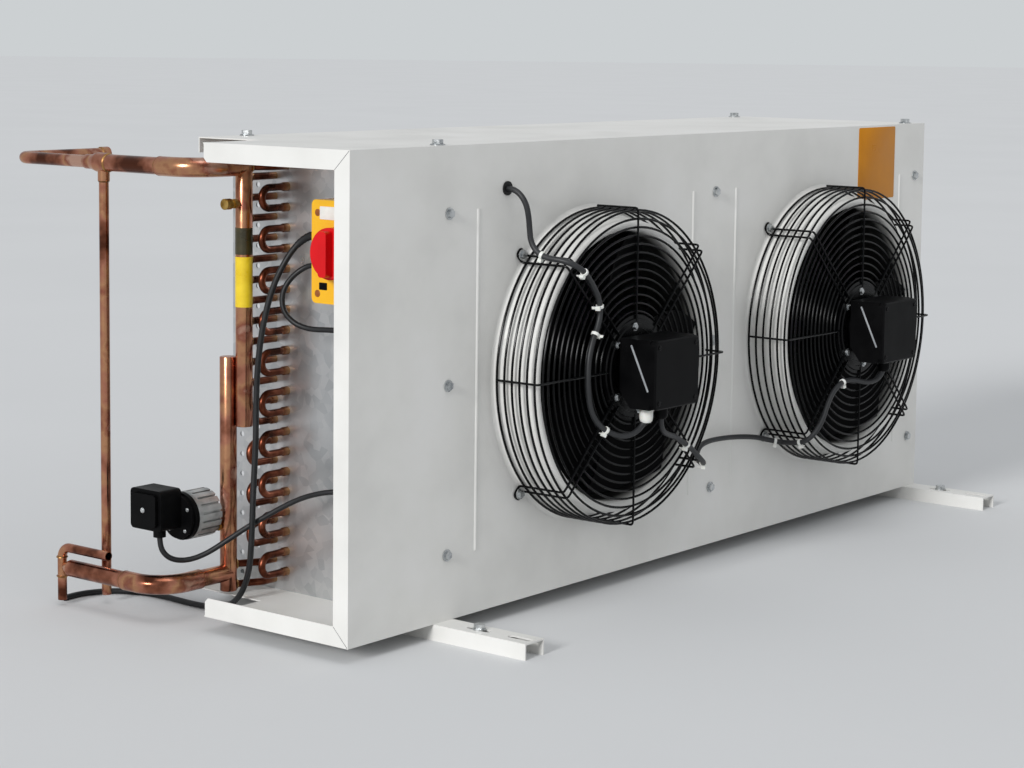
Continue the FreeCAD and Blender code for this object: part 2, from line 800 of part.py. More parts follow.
# Service valve and its cap
def hexagon_bar(start, across, length):
    """A hexagon bar along X."""
    x, y, z = start
    corners = [Vector(x, y + across * math.cos(math.radians(turn)),
                      z + across * math.sin(math.radians(turn)))
               for turn in range(0, 360, 60)]
    return prism(corners, X_AXIS * length)


def header_saddle(x, y, z):
    """What is cut from a fitting so that it sits on the side of a header."""
    return rod((x, y, z - 2 * header_radius), Z_AXIS, header_radius + braze_gap,
               4 * header_radius)


valve_x = upper_header_x - header_radius - valve_length
valve_body = joined([
    rod((valve_x, upper_header_y, valve_z), X_AXIS, valve_radius, valve_length + 4),
    hexagon_bar((valve_x + 0.3 * valve_length, upper_header_y, valve_z), 1.5 * valve_radius,
                0.35 * valve_length),
])
nodes["service_valve"] = valve_body.cut(header_saddle(upper_header_x, upper_header_y, valve_z))
valve_cap = rod((valve_x - braze_gap - cap_length, upper_header_y, valve_z), X_AXIS,
                cap_radius, cap_length)
nodes["service_valve_cap"] = valve_cap.makeChamfer(1.2, [valve_cap.Edges[0],
                                                         valve_cap.Edges[2]])


# Fan speed controller on the lower header
controller_back = lower_header_x - header_radius - controller_stub
stub_y = lower_header_y + 5.0
stub_z = controller_z - 17.0
nodes["controller_stub"] = joined([
    rod((controller_back + braze_gap, stub_y, stub_z), X_AXIS, 3.5, 2 * controller_stub),
    hexagon_bar((controller_back + braze_gap, stub_y, stub_z), 6.5, 0.6 * controller_stub),
]).cut(header_saddle(lower_header_x, lower_header_y, stub_z))

body_x = controller_back - controller_length
controller_body = rod((body_x, controller_y, controller_z), X_AXIS, controller_radius,
                      controller_length)
fin_slots = []
for step in range(controller_fins):
    slot = block((body_x + 6, controller_back + 1), (-1.5, 1.5),
                 (controller_radius - fin_depth, controller_radius + 1))
    slot.rotate(Vector(0, 0, 0), X_AXIS, 360.0 * step / controller_fins)
    slot.translate(Vector(0, controller_y, controller_z))
    fin_slots.append(slot)
nodes["controller_body"] = controller_body.cut(fin_slots)

cover_x = body_x - cover_length
nodes["controller_cover"] = joined([
    rod((cover_x, controller_y, controller_z), X_AXIS, controller_radius - 3, cover_length),
    rod((body_x - cover_length / 2, controller_y, controller_z), X_AXIS,
        controller_radius - 0.5, cover_length / 2),
])

plug_x = cover_x - plug_length
plug_y = controller_y + 20.0
plug_z = controller_z + 12.0
plug_gland_x = plug_x + 0.35 * plug_length
plug_gland_y = plug_y - 0.28 * plug_width
plug_gland_z = plug_z - plug_height / 2 - gland_length + 2
plug_block = rounded_bar((plug_x + 5, cover_x),
                         (plug_y - plug_width / 2, plug_y + plug_width / 2),
                         (plug_z - plug_height / 2, plug_z + plug_height / 2), 6.0, X_AXIS)
plug_end = rounded_bar((plug_x, plug_x + 5),
                       (plug_y - 0.4 * plug_width, plug_y + 0.4 * plug_width),
                       (plug_z - 0.4 * plug_height, plug_z + 0.4 * plug_height), 5.0, X_AXIS)
plug_gland = rod((plug_gland_x, plug_gland_y, plug_gland_z), Z_AXIS, gland_radius - 1,
                 gland_length)
nodes["controller_plug"] = joined([plug_block, plug_end, plug_gland]).cut(
    rod((plug_gland_x, plug_gland_y, plug_gland_z - 1), Z_AXIS, thin_cable + hole_clearance,
        gland_length - 2))


# Isolating switch on the left end plate
switch_face = left_plate_x - switch_depth
lid_back = switch_face + switch_cover
switch_y = (switch_front_y, switch_front_y + switch_width)
switch_z = (switch_bottom, switch_bottom + switch_height)
knob_y = sum(switch_y) / 2
knob_z = sum(switch_z) / 2
nodes["switch_base"] = rounded_bar((lid_back, left_plate_x), switch_y, switch_z,
                                   switch_corner, X_AXIS)
lid = joined([
    rounded_bar((switch_face, lid_back), switch_y, switch_z, switch_corner, X_AXIS),
    rod((switch_face - 3, knob_y, knob_z), X_AXIS, knob_radius - 2, 3),
])
nodes["switch_cover"] = lid.cut(rod((switch_face - 4, knob_y, knob_z), X_AXIS,
                                    spindle_radius + running_clearance,
                                    spindle_length + 6))

knob_x = switch_face - 3 - hole_clearance
knob_plate = rod((knob_x - knob_disc, knob_y, knob_z), X_AXIS, knob_radius, knob_disc)
front_edge = [edge for edge in knob_plate.Edges
              if abs(edge.BoundBox.XMax - (knob_x - knob_disc)) < 1e-3]
nodes["switch_knob"] = joined([
    knob_plate.makeChamfer(1.5, front_edge),
    rounded_bar((knob_x - knob_disc - grip_depth, knob_x - knob_disc),
                (knob_y - grip_width / 2, knob_y + grip_width / 2),
                (knob_z - grip_height / 2, knob_z + grip_height / 2), 4.0, X_AXIS),
    rod((knob_x, knob_y, knob_z), X_AXIS, spindle_radius, spindle_length),
])

side_gland_x = left_plate_x - 32.0
side_glands = [ring((side_gland_x, switch_y[1], z), Y_AXIS, gland_radius,
                    radius + hole_clearance, gland_length + 4)
               for z, radius in ((knob_z + 17.0, thick_cable), (knob_z - 21.0, thin_cable))]

# Junction box in the left plenum, where the leads meet
junction_x = left_plate_x + plate_sheet
nodes["junction_box"] = rounded_bar(
    (junction_x, junction_x + junction_length), (junction_y, junction_y + junction_width),
    (junction_z, junction_z + junction_height), 5.0, X_AXIS)


# Fans
def fan_place(centre_x, angle, along, across, y):
    """A point given along and across a direction round the fan axis."""
    direction = math.radians(angle)
    return Vector(centre_x + along * math.cos(direction) - across * math.sin(direction), y,
                  fan_z + along * math.sin(direction) + across * math.cos(direction))


def wire_hoop(centre_x, radius, y, sides):
    """A guard ring of square wire, with its flat sides facing the spokes."""
    outlines = []
    for offset in (guard_wire / 2, -guard_wire / 2):
        corner = (radius + offset) / math.cos(math.pi / sides)
        outlines.append([fan_place(centre_x, 360 * (step + 0.5) / sides, corner, 0, y)
                         for step in range(sides)])
    outer, inner = [prism(points, Y_AXIS * guard_wire) for points in outlines]
    return outer.cut(inner)


def spoke(centre_x, angle, offset, back):
    """A guard spoke: along the basket's side, round its corner and in to the motor."""
    inside = guard_radius + guard_wire / 2
    outside = inside + guard_wire
    reach = stator_radius - 10.0
    front = spoke_plane - guard_wire
    outline = [(reach, front), (outside - guard_wire, front), (outside, spoke_plane),
               (outside, back), (inside, back), (inside, spoke_plane), (reach, spoke_plane)]
    low = offset - guard_wire / 2
    points = [fan_place(centre_x, angle, along, low, y) for along, y in outline]
    width = fan_place(0, angle, 0, guard_wire, 0) - fan_place(0, angle, 0, 0, 0)
    return prism(points, width)


def guard_eye(centre_x, angle):
    """The flat lug between two arms where the guard is screwed to the panel."""
    back = -seat_gap - guard_wire
    inner = eye_circle_radius - eye_radius
    corners = [(inner, -eye_radius), (eye_circle_radius, -eye_radius),
               (eye_circle_radius, eye_radius), (inner, eye_radius)]
    strap = prism([fan_place(centre_x, angle, along, across, back)
                   for along, across in corners], Y_AXIS * guard_wire)
    middle = tuple(fan_place(centre_x, angle, eye_circle_radius, 0, back))
    lug = joined([strap, rod(middle, Y_AXIS, eye_radius, guard_wire)])
    return lug.cut(rod(middle, Y_AXIS, eye_hole, guard_wire))


def fan_guard(centre_x):
    """A basket of wire hoops, with four single spokes and four double arms."""
    wires = []
    side_pitch = guard_depth / (side_rings - 1)
    for step in range(side_rings):
        y = -guard_back - step * side_pitch - guard_wire / 2
        wires.append(wire_hoop(centre_x, guard_radius, y, 24))
    for step in range(1, front_rings + 1):
        radius = guard_radius - step * ring_pitch
        wires.append(wire_hoop(centre_x, radius, spoke_plane, 24 if radius > 110 else 16))
    wires += [spoke(centre_x, angle, 0, -guard_back + guard_wire / 2)
              for angle in (0, 90, 180, 270)]
    wires += [spoke(centre_x, angle, side * arm_spacing / 2, -seat_gap - guard_wire)
              for angle in (45, 135, 225, 315) for side in (-1, 1)]
    wires += [guard_eye(centre_x, angle) for angle in (45, 135, 225, 315)]
    return group(wires)


def stator(centre_x):
    """The motor's fixed flange on the guard, with windings and bearing tube behind it."""
    flange = rod((centre_x, spoke_plane, fan_z), Y_AXIS, stator_radius, stator_thickness)
    flange = flange.cut(ring((centre_x, spoke_plane, fan_z), Y_AXIS, stator_radius + 1,
                             motor_radius + hub_wall, guard_wire))
    windings = rod((centre_x, spoke_plane, fan_z), Y_AXIS, motor_radius - rotor_wall - 2.5,
                   stator_thickness + 0.6 * motor_length)
    bearing = rod((centre_x, spoke_plane, fan_z), Y_AXIS, bearing_radius,
                  stator_thickness + 0.85 * motor_length)
    bore = rod((centre_x, spoke_plane + stator_thickness, fan_z), Y_AXIS,
               shaft_radius + running_clearance, motor_length)
    return joined([flange, windings, bearing]).cut(bore)


def rotor(centre_x):
    """The outer cup of the motor with its shaft."""
    start = spoke_plane + stator_thickness + motor_gap
    end = start + motor_length
    cup = ring((centre_x, start, fan_z), Y_AXIS, motor_radius, motor_radius - rotor_wall,
               motor_length)
    closed_end = rod((centre_x, end - rotor_wall, fan_z), Y_AXIS, motor_radius, rotor_wall)
    shaft = rod((centre_x, start, fan_z), Y_AXIS, shaft_radius, motor_length)
    return joined([cup, closed_end, shaft])


def blade_section(centre_x, radius, share):
    """One flat blade section, square to the radius at its own sweep angle."""
    pitch = math.radians(blade_root_pitch + share * (blade_tip_pitch - blade_root_pitch))
    chord = blade_chord * (0.56 + 0.44 * share)
    sweep = math.radians(blade_sweep) * share ** 2
    outward = Vector(math.sin(sweep), 0, math.cos(sweep))
    sideways = Vector(math.cos(sweep), 0, -math.sin(sweep))
    hub_y = spoke_plane + stator_thickness + motor_gap + motor_length / 2 + 4
    middle = Vector(centre_x, hub_y, fan_z) + outward * radius
    upper, lower = [], []
    steps = 4
    for step in range(steps + 1):
        along = step / steps - 0.5
        camber = 0.07 * chord * (1 - 4 * along ** 2)
        half = blade_thickness / 2 * (1 - 3 * along ** 2)
        for points, offset in ((upper, camber + half), (lower, camber - half)):
            around = along * chord * math.cos(pitch) - offset * math.sin(pitch)
            axial = along * chord * math.sin(pitch) + offset * math.cos(pitch)
            points.append(middle + sideways * around + Y_AXIS * axial)
    curves = []
    for points in (upper, list(reversed(lower))):
        curve = Part.BSplineCurve()
        curve.interpolate(points)
        curves.append(curve.toShape())
    return Part.Wire([curves[0], Part.makeLine(upper[-1], lower[-1]), curves[1],
                      Part.makeLine(lower[0], upper[0])])


def impeller(centre_x):
    """A hub ring with sickle blades, lofted through sections from root to tip."""
    hub_inner = motor_radius + hub_clearance
    hub_outer = hub_inner + hub_wall
    start = spoke_plane + stator_thickness + motor_gap + 4
    hub_length = motor_length - 8
    hub = ring((centre_x, start, fan_z), Y_AXIS, hub_outer, hub_inner, hub_length)
    root_radius = hub_inner + 0.1 * hub_wall
    sections = []
    for station in range(5):
        share = station / 4
        radius = root_radius + share * (fan_size / 2 - root_radius)
        sections.append(blade_section(centre_x, radius, share))
    swept_disc = rod((centre_x, start - hub_length, fan_z), Y_AXIS, fan_size / 2,
                     3 * hub_length)
    blade = Part.makeLoft(sections, True, False).common(swept_disc)
    blades = []
    for count in range(blade_count):
        copy = blade.copy()
        copy.rotate(Vector(centre_x, 0, fan_z), Y_AXIS, 360 * count / blade_count)
        blades.append(copy)
    return joined([hub] + blades)


def terminal_box(centre_x):
    """The motor's terminal box: a neck on the flange and a body with a sloped underside."""
    back = spoke_plane - box_neck
    front = back - box_depth + box_lid
    left = centre_x - box_width / 2
    low = fan_z - box_height / 2
    high = fan_z + box_height / 2
    profile = [Vector(left, front, low), Vector(left, front, high), Vector(left, back, high),
               Vector(left, back, fan_z - 0.6 * box_neck_radius),
               Vector(left, back - 0.3 * box_depth, low)]
    neck = rod((centre_x, back - 1, fan_z), Y_AXIS, box_neck_radius, box_neck + 1)
    return joined([prism(profile, X_AXIS * box_width), neck])


def terminal_lid(centre_x):
    front = spoke_plane - box_neck - box_depth
    lid_plate = rounded_bar((centre_x - box_width / 2, centre_x + box_width / 2),
                            (front, front + box_lid),
                            (fan_z - box_height / 2, fan_z + box_height / 2), box_corner,
                            Y_AXIS)
    rim = [edge for edge in lid_plate.Edges if abs(edge.BoundBox.YMax - front) < 1e-3]
    return lid_plate.makeChamfer(2.0, rim)


for number, centre_x in enumerate(fan_centres, start=1):
    nodes["fan_%d_guard" % number] = fan_guard(centre_x)
    nodes["fan_%d_stator" % number] = stator(centre_x)
    nodes["fan_%d_rotor" % number] = rotor(centre_x)
    nodes["fan_%d_impeller" % number] = impeller(centre_x)
    nodes["fan_%d_terminal_box" % number] = terminal_box(centre_x)
    nodes["fan_%d_terminal_lid" % number] = terminal_lid(centre_x)


# Cable glands and grommets
gland_y = spoke_plane - box_neck - 0.46 * box_depth
box_under = fan_z - box_height / 2
gland_1_x = fan_centres[0] - 26.0
gland_2_x = fan_centres[0] + 8.0
gland_3_x = fan_centres[1] + 8.0
fan_glands = [ring((x, gland_y, box_under - gland_length), Z_AXIS, gland_radius,
                   fan_cable + hole_clearance, gland_length)
              for x in (gland_1_x, gland_2_x, gland_3_x)]
nodes["cable_glands"] = group(fan_glands + side_glands)


def grommet(centre, direction, cable_radius, thickness):
    """A rubber grommet: a sleeve in the hole, with a flange on each side of the sheet."""
    start = Vector(*centre)
    lip = grommet_flange - seat_gap
    pieces = [rod(tuple(start - direction * grommet_flange), direction,
                  grommet_hole_radius - seat_gap, thickness + 2 * grommet_flange)]
    for offset in (-grommet_flange, thickness + seat_gap):
        pieces.append(rod(tuple(start + direction * offset), direction, grommet_radius, lip))
    bore = rod(tuple(start - direction * 5), direction, cable_radius + 2 * hole_clearance,
               thickness + 10)
    return joined(pieces).cut(bore)


nodes["grommets"] = group(
    [grommet((cable_hole_x, 0, cable_hole_z), Y_AXIS, fan_cable, sheet)]
    + [grommet((left_plate_x, y, z), X_AXIS, thin_cable, plate_sheet) for y, z in lead_holes])


switch_back_y = switch_y[1] + 1


def from_header(points):
    """Route points whose Y is measured from the lower header."""
    return [(x, lower_header_y + y, z) for x, y, z in points]


def from_lead_hole(points):
    """Route points whose Y is a share of the way from the plate's lead hole to the plug."""
    return [(x, controller_lead_y + share * (plug_gland_y - controller_lead_y), z)
            for x, share, z in points]


def from_fan(centre_x, points):
    """Route points measured across and up from a fan's axis; they grow with its guard."""
    growth = guard_radius / 206.0
    return [(centre_x + growth * x, y, fan_z + growth * z) for x, y, z in points]


supply_route = [
    (side_gland_x, switch_back_y, knob_z + 17), (side_gland_x, 174, knob_z + 17),
    (126, 190, 468.5), (120, 202.5, 456), (111, 211, 437), (101, 219, 411)]
supply_route += from_header([
    (95, -70.3, 380), (91, -64.3, 344), (88.5, -60.3, 302), (88, -58.3, 257),
    (86, -60.3, 211), (83.5, -59.3, 166), (80, -60.3, 122), (79.5, -58.8, 82),
    (80.5, -54.3, 45), (82.5, -40.3, 14), (85, -18.3, -7), (85, 8.7, -14.8), (82, 35.7, -16.3),
    (83, 69.7, -16.4), (86, 107.7, -16.3), (83, 144.7, -16.4), (68, 175.7, -16.3),
    (45, 194.7, -16.4), (18, 202.7, -16.3), (-6, 199.7, -16.4)])
cable("supply_cable", supply_route, thick_cable)

switch_lead_route = [
    (side_gland_x, switch_back_y, knob_z - 21), (side_gland_x, 178, knob_z - 21),
    (123, 192, 430), (112, 204, 416), (105, 210, 397), (104, 206, 377), (109, 194, 363),
    (114, 178, 357), (117, 162, 356), (119, 146, 357), (120.5, 129, 357.5), (125, 113, 358),
    (135, 100.5, 358), (150, switch_lead_y, 358), (173, switch_lead_y, 358),
    (191, 94, 364), (205, 94, 379), (211, 94, 399), (211, 94, junction_z - 2 * seat_gap)]
cable("switch_lead", switch_lead_route, thin_cable)

controller_lead_route = [
    (plug_gland_x, plug_gland_y, plug_gland_z + 6.5),
    (plug_gland_x, plug_gland_y, plug_gland_z - 10)]
controller_lead_route += from_lead_hole([
    (9, 0.980, plug_gland_z - 23), (19, 0.945, 57), (35, 0.896, 56), (51, 0.826, 64),
    (66, 0.738, 80), (84, 0.640, 99), (97, 0.533, 115), (107, 0.435, 129),
    (114, 0.3375, 140), (117.5, 0.2444, 147), (120.5, 0.163, 151.5), (125, 0.0885, 153.5),
    (135, 0.030, 154.5)])
controller_lead_route += [
    (150, controller_lead_y, 155), (173, controller_lead_y, 155), (192, 110, 160),
    (204, 107, 175), (209, 103, 199), (210, 100, 238), (211, 98, 286), (210, 101, 336),
    (207, 106, 384), (206, 110, junction_z - 2 * seat_gap)]
cable("controller_lead", controller_lead_route, thin_cable)

port_x = junction_x + junction_length
hole_rise = cable_hole_z - junction_port_z
hole_run = cable_hole_x - port_x
fan_1_route = [(port_x + seat_gap, junction_port_y, junction_port_z),
               (port_x + 0.25 * hole_run, junction_port_y, junction_port_z)]
fan_1_route += [
    (port_x + along * hole_run, y, junction_port_z + up * hole_rise)
    for along, y, up in ((0.49, 75, 0.13), (0.69, 64, 0.36), (0.845, 48, 0.62),
                         (0.944, 30, 0.87))]
fan_1_route += [(cable_hole_x, 12, cable_hole_z), (cable_hole_x, -9, cable_hole_z)]
fan_1_route += from_fan(fan_centres[0], [
    (-181, -21.5, 232.5), (-178.5, -28.3, 220.5), (-175, -29.5, 205.5), (-171, -28, 189.5),
    (-168.5, -28, 173.5), (-167, -37, 159.5), (-165, -53, 153.5), (-162, -70, 152.5),
    (-156, -83, 148.5), (-145, -90.5, 141.5), (-130, -90, 130.5), (-113, -88, 114.5),
    (-100, -86, 98.5), (-94, -84, 80.5), (-100, -84, 63.5), (-110, -84, 47.5),
    (-117, -84, 28.5), (-119, -84, 6.5), (-118, -84, -14.5), (-115, -84, -33.5),
    (-108, -85, -50.5), (-96, -88, -64.5), (-80, -93, -74.5), (-63, -98, -80),
    (-45.5, -102, -79.5)])
fan_1_route += [(gland_1_x - 6.8, gland_y + 3.8, box_under - 27),
                (gland_1_x, gland_y, box_under - 14.3), (gland_1_x, gland_y, box_under - 0.5)]
cable("fan_1_cable", fan_1_route, fan_cable)

fan_2_route = [
    (gland_2_x, gland_y, box_under - 0.5), (gland_2_x, gland_y, box_under - 14.5),
    (gland_2_x + 4, gland_y + 2.8, box_under - 28.5)]
fan_2_route += from_fan(fan_centres[0], [
    (23, -103, -84), (41, -98, -90.5), (63, -94, -96.5), (85, -91, -106.5),
    (107, -90, -117.5), (129, -89, -133.5), (149, -84, -144.5), (165, -72, -150.5),
    (178, -55, -149.5), (196, -41, -142.5), (221, -31, -136.5), (252, -24, -135.5),
    (287, -19, -137.5)])
fan_2_route += from_fan(fan_centres[1], [
    (-260, -16, -140.5), (-224, -16, -144.5), (-193, -17, -149.5), (-172, -24, -155.5),
    (-161, -38, -158.5), (-159, -58, -157.5), (-159, -77, -153.5), (-154, -90, -140.5),
    (-141, -94, -123.5), (-125, -91, -105.5), (-107, -88, -89.5), (-87, -88, -76.5),
    (-66, -91, -70.5), (-46, -96, -73.5), (-28, -100, -78.5), (-11, -104, -78)])
fan_2_route += [(gland_3_x - 6.7, gland_y + 2.3, box_under - 26.5),
                (gland_3_x, gland_y, box_under - 14.3), (gland_3_x, gland_y, box_under - 0.5)]
cable("fan_2_cable", fan_2_route, fan_cable)


def cable_tie(route, run, radius):
    """A band round the middle of one straight run of a cable, with its square head."""
    first, second = Vector(*route[run]), Vector(*route[run + 1])
    along = (second - first).normalize()
    middle = (first + second) * 0.5
    start = middle - along * (tie_width / 2)
    band = ring(tuple(start), along, radius + tie_thickness + seat_gap, radius + seat_gap,
                tie_width)
    head = block((-2.5, 2.5), (-2.5, 2.5), (0, tie_width))
    turned = FreeCAD.Rotation(Z_AXIS, along)
    head.Placement = FreeCAD.Placement(start, turned)
    away = turned.multVec(Vector(0, -1, 0))
    head.translate(away * (radius + tie_thickness + 2.4))
    return joined([band, head])


ties = [cable_tie(fan_1_route, run, fan_cable) for run in (13, 17, 20, 22, 29)]
ties += [cable_tie(fan_2_route, run, fan_cable) for run in (6, 9, 11, 19, 21, 27)]
nodes["cable_ties"] = group(ties)


# Rails with their slots
def rail(centre_x):
    """A channel with its open side down, slotted near its free end."""
    x_range = (centre_x - rail_width / 2, centre_x + rail_width / 2)
    y_range = (-rail_overhang, casing_depth)
    outer = block(x_range, y_range, (-rail_height, 0))
    inner = block((x_range[0] + rail_sheet, x_range[1] - rail_sheet),
                  (y_range[0] - 1, y_range[1] + 1), (-rail_height - 1, -rail_sheet))
    holes = [inner]
    straight = (slot_length - slot_width) / 2
    for y in (-slot_first, -slot_second):
        holes.append(block((centre_x - slot_width / 2, centre_x + slot_width / 2),
                           (y - straight, y + straight), (-rail_height, 1)))
        holes += [rod((centre_x, y + side * straight, -rail_height), Z_AXIS, slot_width / 2,
                      rail_height + 1) for side in (-1, 1)]
    holes += upright_holes([x for x in foot_bolt_columns if abs(x - centre_x) < rail_width / 2],
                           foot_bolt_rows, -rail_height, 1)
    return outer.cut(holes)


nodes["left_rail"] = rail(left_rail_x)
nodes["right_rail"] = rail(right_rail_x)

# Bolts and screws
down = Z_AXIS * -1
rail_bolts = []
for centre_x in (left_rail_x, right_rail_x):
    rail_bolts += hex_bolt((centre_x, -slot_second, seat_gap), down, bolt_radius,
                           bolt_head_radius, bolt_head_height, 14.0, washer_radius)
for x in foot_bolt_columns:
    on_flange = x < plenum_middle
    base_z = sheet + seat_gap + (plate_sheet if on_flange else 0)
    for y in foot_bolt_rows:
        rail_bolts += hex_bolt((x, y, base_z), down, bolt_radius, bolt_head_radius,
                               bolt_head_height, 14.0, washer_radius)
nodes["rail_bolts"] = group(rail_bolts)

top_bolts = []
for x in top_bolt_columns:
    for y in top_bolt_rows:
        top_bolts += hex_bolt((x, y, casing_height + seat_gap), down, bolt_radius,
                              bolt_head_radius, bolt_head_height, 12.0, washer_radius)
nodes["top_bolts"] = group(top_bolts)

panel_screws = []
for x in panel_screw_columns:
    for z in panel_screw_rows:
        panel_screws += hex_bolt((x, -seat_gap, z), Y_AXIS, panel_screw_radius, 5.5, 3.6, 9.0,
                                 7.5)
nodes["panel_screws"] = group(panel_screws)

guard_screws = []
for centre_x in fan_centres:
    for x, z in eye_places(centre_x):
        guard_screws += hex_bolt((x, -guard_wire - 2 * seat_gap, z), Y_AXIS,
                                 guard_screw_radius, 5.0, 3.4, 10.0, 7.0)
nodes["guard_screws"] = group(guard_screws)


# Everything goes to its place about the origin, and each node to its own file.
cords = ("supply_cable", "switch_lead", "controller_lead", "fan_1_cable", "fan_2_cable")
rigid = Part.makeCompound([shape for name, shape in nodes.items() if name not in cords])
extent = rigid.optimalBoundingBox(False, False)
origin = Vector((extent.XMin + extent.XMax) / 2, (extent.YMin + extent.YMax) / 2,
                -rail_height)
print("origin in casing coordinates", origin)
print("extent", extent)

os.makedirs("parts", exist_ok=True)
for name, shape in nodes.items():
    shape.translate(origin * -1)
    shape.exportStep("parts/%s.step" % name)
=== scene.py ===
import math
import random

import bmesh
import bpy
from mathutils import Matrix, Vector


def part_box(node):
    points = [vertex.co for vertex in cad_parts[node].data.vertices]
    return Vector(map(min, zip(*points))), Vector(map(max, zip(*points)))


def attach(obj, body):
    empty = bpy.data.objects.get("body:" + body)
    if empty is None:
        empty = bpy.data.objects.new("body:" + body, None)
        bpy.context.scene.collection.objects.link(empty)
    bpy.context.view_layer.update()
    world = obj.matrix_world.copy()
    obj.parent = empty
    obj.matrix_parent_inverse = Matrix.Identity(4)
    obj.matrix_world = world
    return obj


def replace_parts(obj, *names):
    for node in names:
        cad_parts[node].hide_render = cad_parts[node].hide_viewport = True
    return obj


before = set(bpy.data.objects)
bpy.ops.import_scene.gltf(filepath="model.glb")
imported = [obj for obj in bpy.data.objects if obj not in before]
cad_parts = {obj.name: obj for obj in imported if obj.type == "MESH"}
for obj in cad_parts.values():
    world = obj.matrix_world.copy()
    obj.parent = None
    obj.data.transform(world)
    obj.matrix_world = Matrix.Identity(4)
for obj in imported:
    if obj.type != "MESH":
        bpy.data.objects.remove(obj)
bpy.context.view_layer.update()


# Casing: 1.5 mm steel sheet, folded, spot welded and then powder coated a light grey white.
# The two inlet rings are pressed from the same sheet; the top, the bottom, the closed end
# and the two slotted rails carry the same coat.
def linear(code):
    """An sRGB hex colour as the linear colour that a shader takes."""
    levels = [int(code[place:place + 2], 16) / 255 for place in (1, 3, 5)]
    return [level / 12.92 if level <= 0.04045 else ((level + 0.055) / 1.055) ** 2.4
            for level in levels] + [1.0]


def add_node(material, kind, inputs, stops=(), **settings):
    """Adds a node with its settings; an input is a value or another node's output."""
    node = material.node_tree.nodes.new(kind)
    for setting, value in settings.items():
        setattr(node, setting, value)
    for socket, value in inputs.items():
        if isinstance(value, bpy.types.NodeSocket):
            material.node_tree.links.new(value, node.inputs[socket])
        else:
            node.inputs[socket].default_value = value
    if stops:
        ramp = node.color_ramp.elements
        ramp.remove(ramp[1])
        ramp[0].position, ramp[0].color = stops[0][0], linear(stops[0][1])
        for place, code in stops[1:]:
            ramp.new(place).color = linear(code)
    return node


def surface(name, tints, patch, grain, relief, rough, **sockets):
    """A finish whose tints drift in patches over a skin with a grain, in millimetres."""
    material = bpy.data.materials.new(name)
    material.use_nodes = True
    shader = material.node_tree.nodes["Principled BSDF"]
    for socket, value in sockets.items():
        shader.inputs[socket.replace("_", " ")].default_value = value
    where = add_node(material, "ShaderNodeTexCoord", {}).outputs["Object"]
    patches = add_node(material, "ShaderNodeTexNoise",
                       {"Vector": where, "Scale": 1000 / patch, "Detail": 4.0})
    stops = [(0.33 + 0.34 * step / (len(tints) - 1), tint) for step, tint in enumerate(tints)]
    colour = add_node(material, "ShaderNodeValToRGB", {"Fac": patches.outputs["Fac"]}, stops)
    gloss = add_node(material, "ShaderNodeMapRange",
                     {"Value": patches.outputs["Fac"], "From Min": 0.3, "From Max": 0.7,
                      "To Min": rough[0], "To Max": rough[1]})
    skin = add_node(material, "ShaderNodeTexNoise",
                    {"Vector": where, "Scale": 1000 / grain, "Detail": 2.0})
    bump = add_node(material, "ShaderNodeBump",
                    {"Height": skin.outputs["Fac"], "Distance": relief / 1000})
    for output, socket in ((colour.outputs["Color"], "Base Color"),
                           (gloss.outputs["Result"], "Roughness"),
                           (bump.outputs["Normal"], "Normal")):
        material.node_tree.links.new(output, shader.inputs[socket])
    return material


def paint(material, *nodes):
    """Gives carried-over nodes their finish."""
    for node in nodes:
        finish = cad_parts[node].data.materials
        finish.clear()
        finish.append(material)


# Polyester powder coat: satin, with a faint orange peel and an almost even grey white.
powder_coat = surface("polyester powder coat", ("#DCDBD7", "#E3E2DE", "#E7E6E3"), patch=120,
                      grain=2.4, relief=0.12, rough=(0.36, 0.46), Specular_IOR_Level=0.45)
paint(powder_coat, "front_panel", "top_panel", "bottom_plate", "right_end_cover",
      "left_rail", "right_rail")


def at(x, y, z):
    """A place in millimetres from the casing's lower front corner at the service end."""
    return Vector((-0.6708, -0.2367, 0.0204)) + Vector((x, y, z)) / 1000


# Inlet rings: the same coat, with painted shade inside each throat, so that the white ends at
# the lip and the fan sits in the dark. The pattern repeats from one fan's axis to the next.
fan_centres = ((1, 475), (2, 1060))
fan_height = 293.5
fan_spacing = 0.585
first_axis = at(fan_centres[0][1], 0, fan_height)
throat_radius = 0.179
painted_shade_starts, painted_shade_full = -0.2900, -0.2700
ring_coat = powder_coat.copy()
ring_coat.name = "powder coat with a painted throat shade"
where = add_node(ring_coat, "ShaderNodeTexCoord", {}).outputs["Object"]
place = add_node(ring_coat, "ShaderNodeSeparateXYZ", {"Vector": where}).outputs
past = add_node(ring_coat, "ShaderNodeMath", {0: place["X"], 1: first_axis.x},
                operation="SUBTRACT")
aside = add_node(ring_coat, "ShaderNodeMath", {0: past.outputs[0], 1: fan_spacing / 2},
                 operation="PINGPONG")
above = add_node(ring_coat, "ShaderNodeMath", {0: place["Z"], 1: first_axis.z},
                 operation="SUBTRACT")
offset = add_node(ring_coat, "ShaderNodeCombineXYZ", {"X": aside.outputs[0],
                                                      "Y": above.outputs[0]})
reach = add_node(ring_coat, "ShaderNodeVectorMath", {0: offset.outputs[0]},
                 operation="LENGTH")
within = add_node(ring_coat, "ShaderNodeMapRange",
                  {"Value": reach.outputs["Value"], "From Min": throat_radius + 0.0005,
                   "From Max": throat_radius - 0.0005})
depth = add_node(ring_coat, "ShaderNodeMapRange",
                 {"Value": place["Y"], "From Min": painted_shade_starts,
                  "From Max": painted_shade_full})
# Painted shade: past the lip the coat's colour turns dark grey (#2A2A29) inside each throat.
throat_shade = add_node(ring_coat, "ShaderNodeMath", {0: within.outputs[0], 1: depth.outputs[0]},
                 operation="MULTIPLY")
shader = ring_coat.node_tree.nodes["Principled BSDF"]
coat = shader.inputs["Base Color"].links[0].from_socket
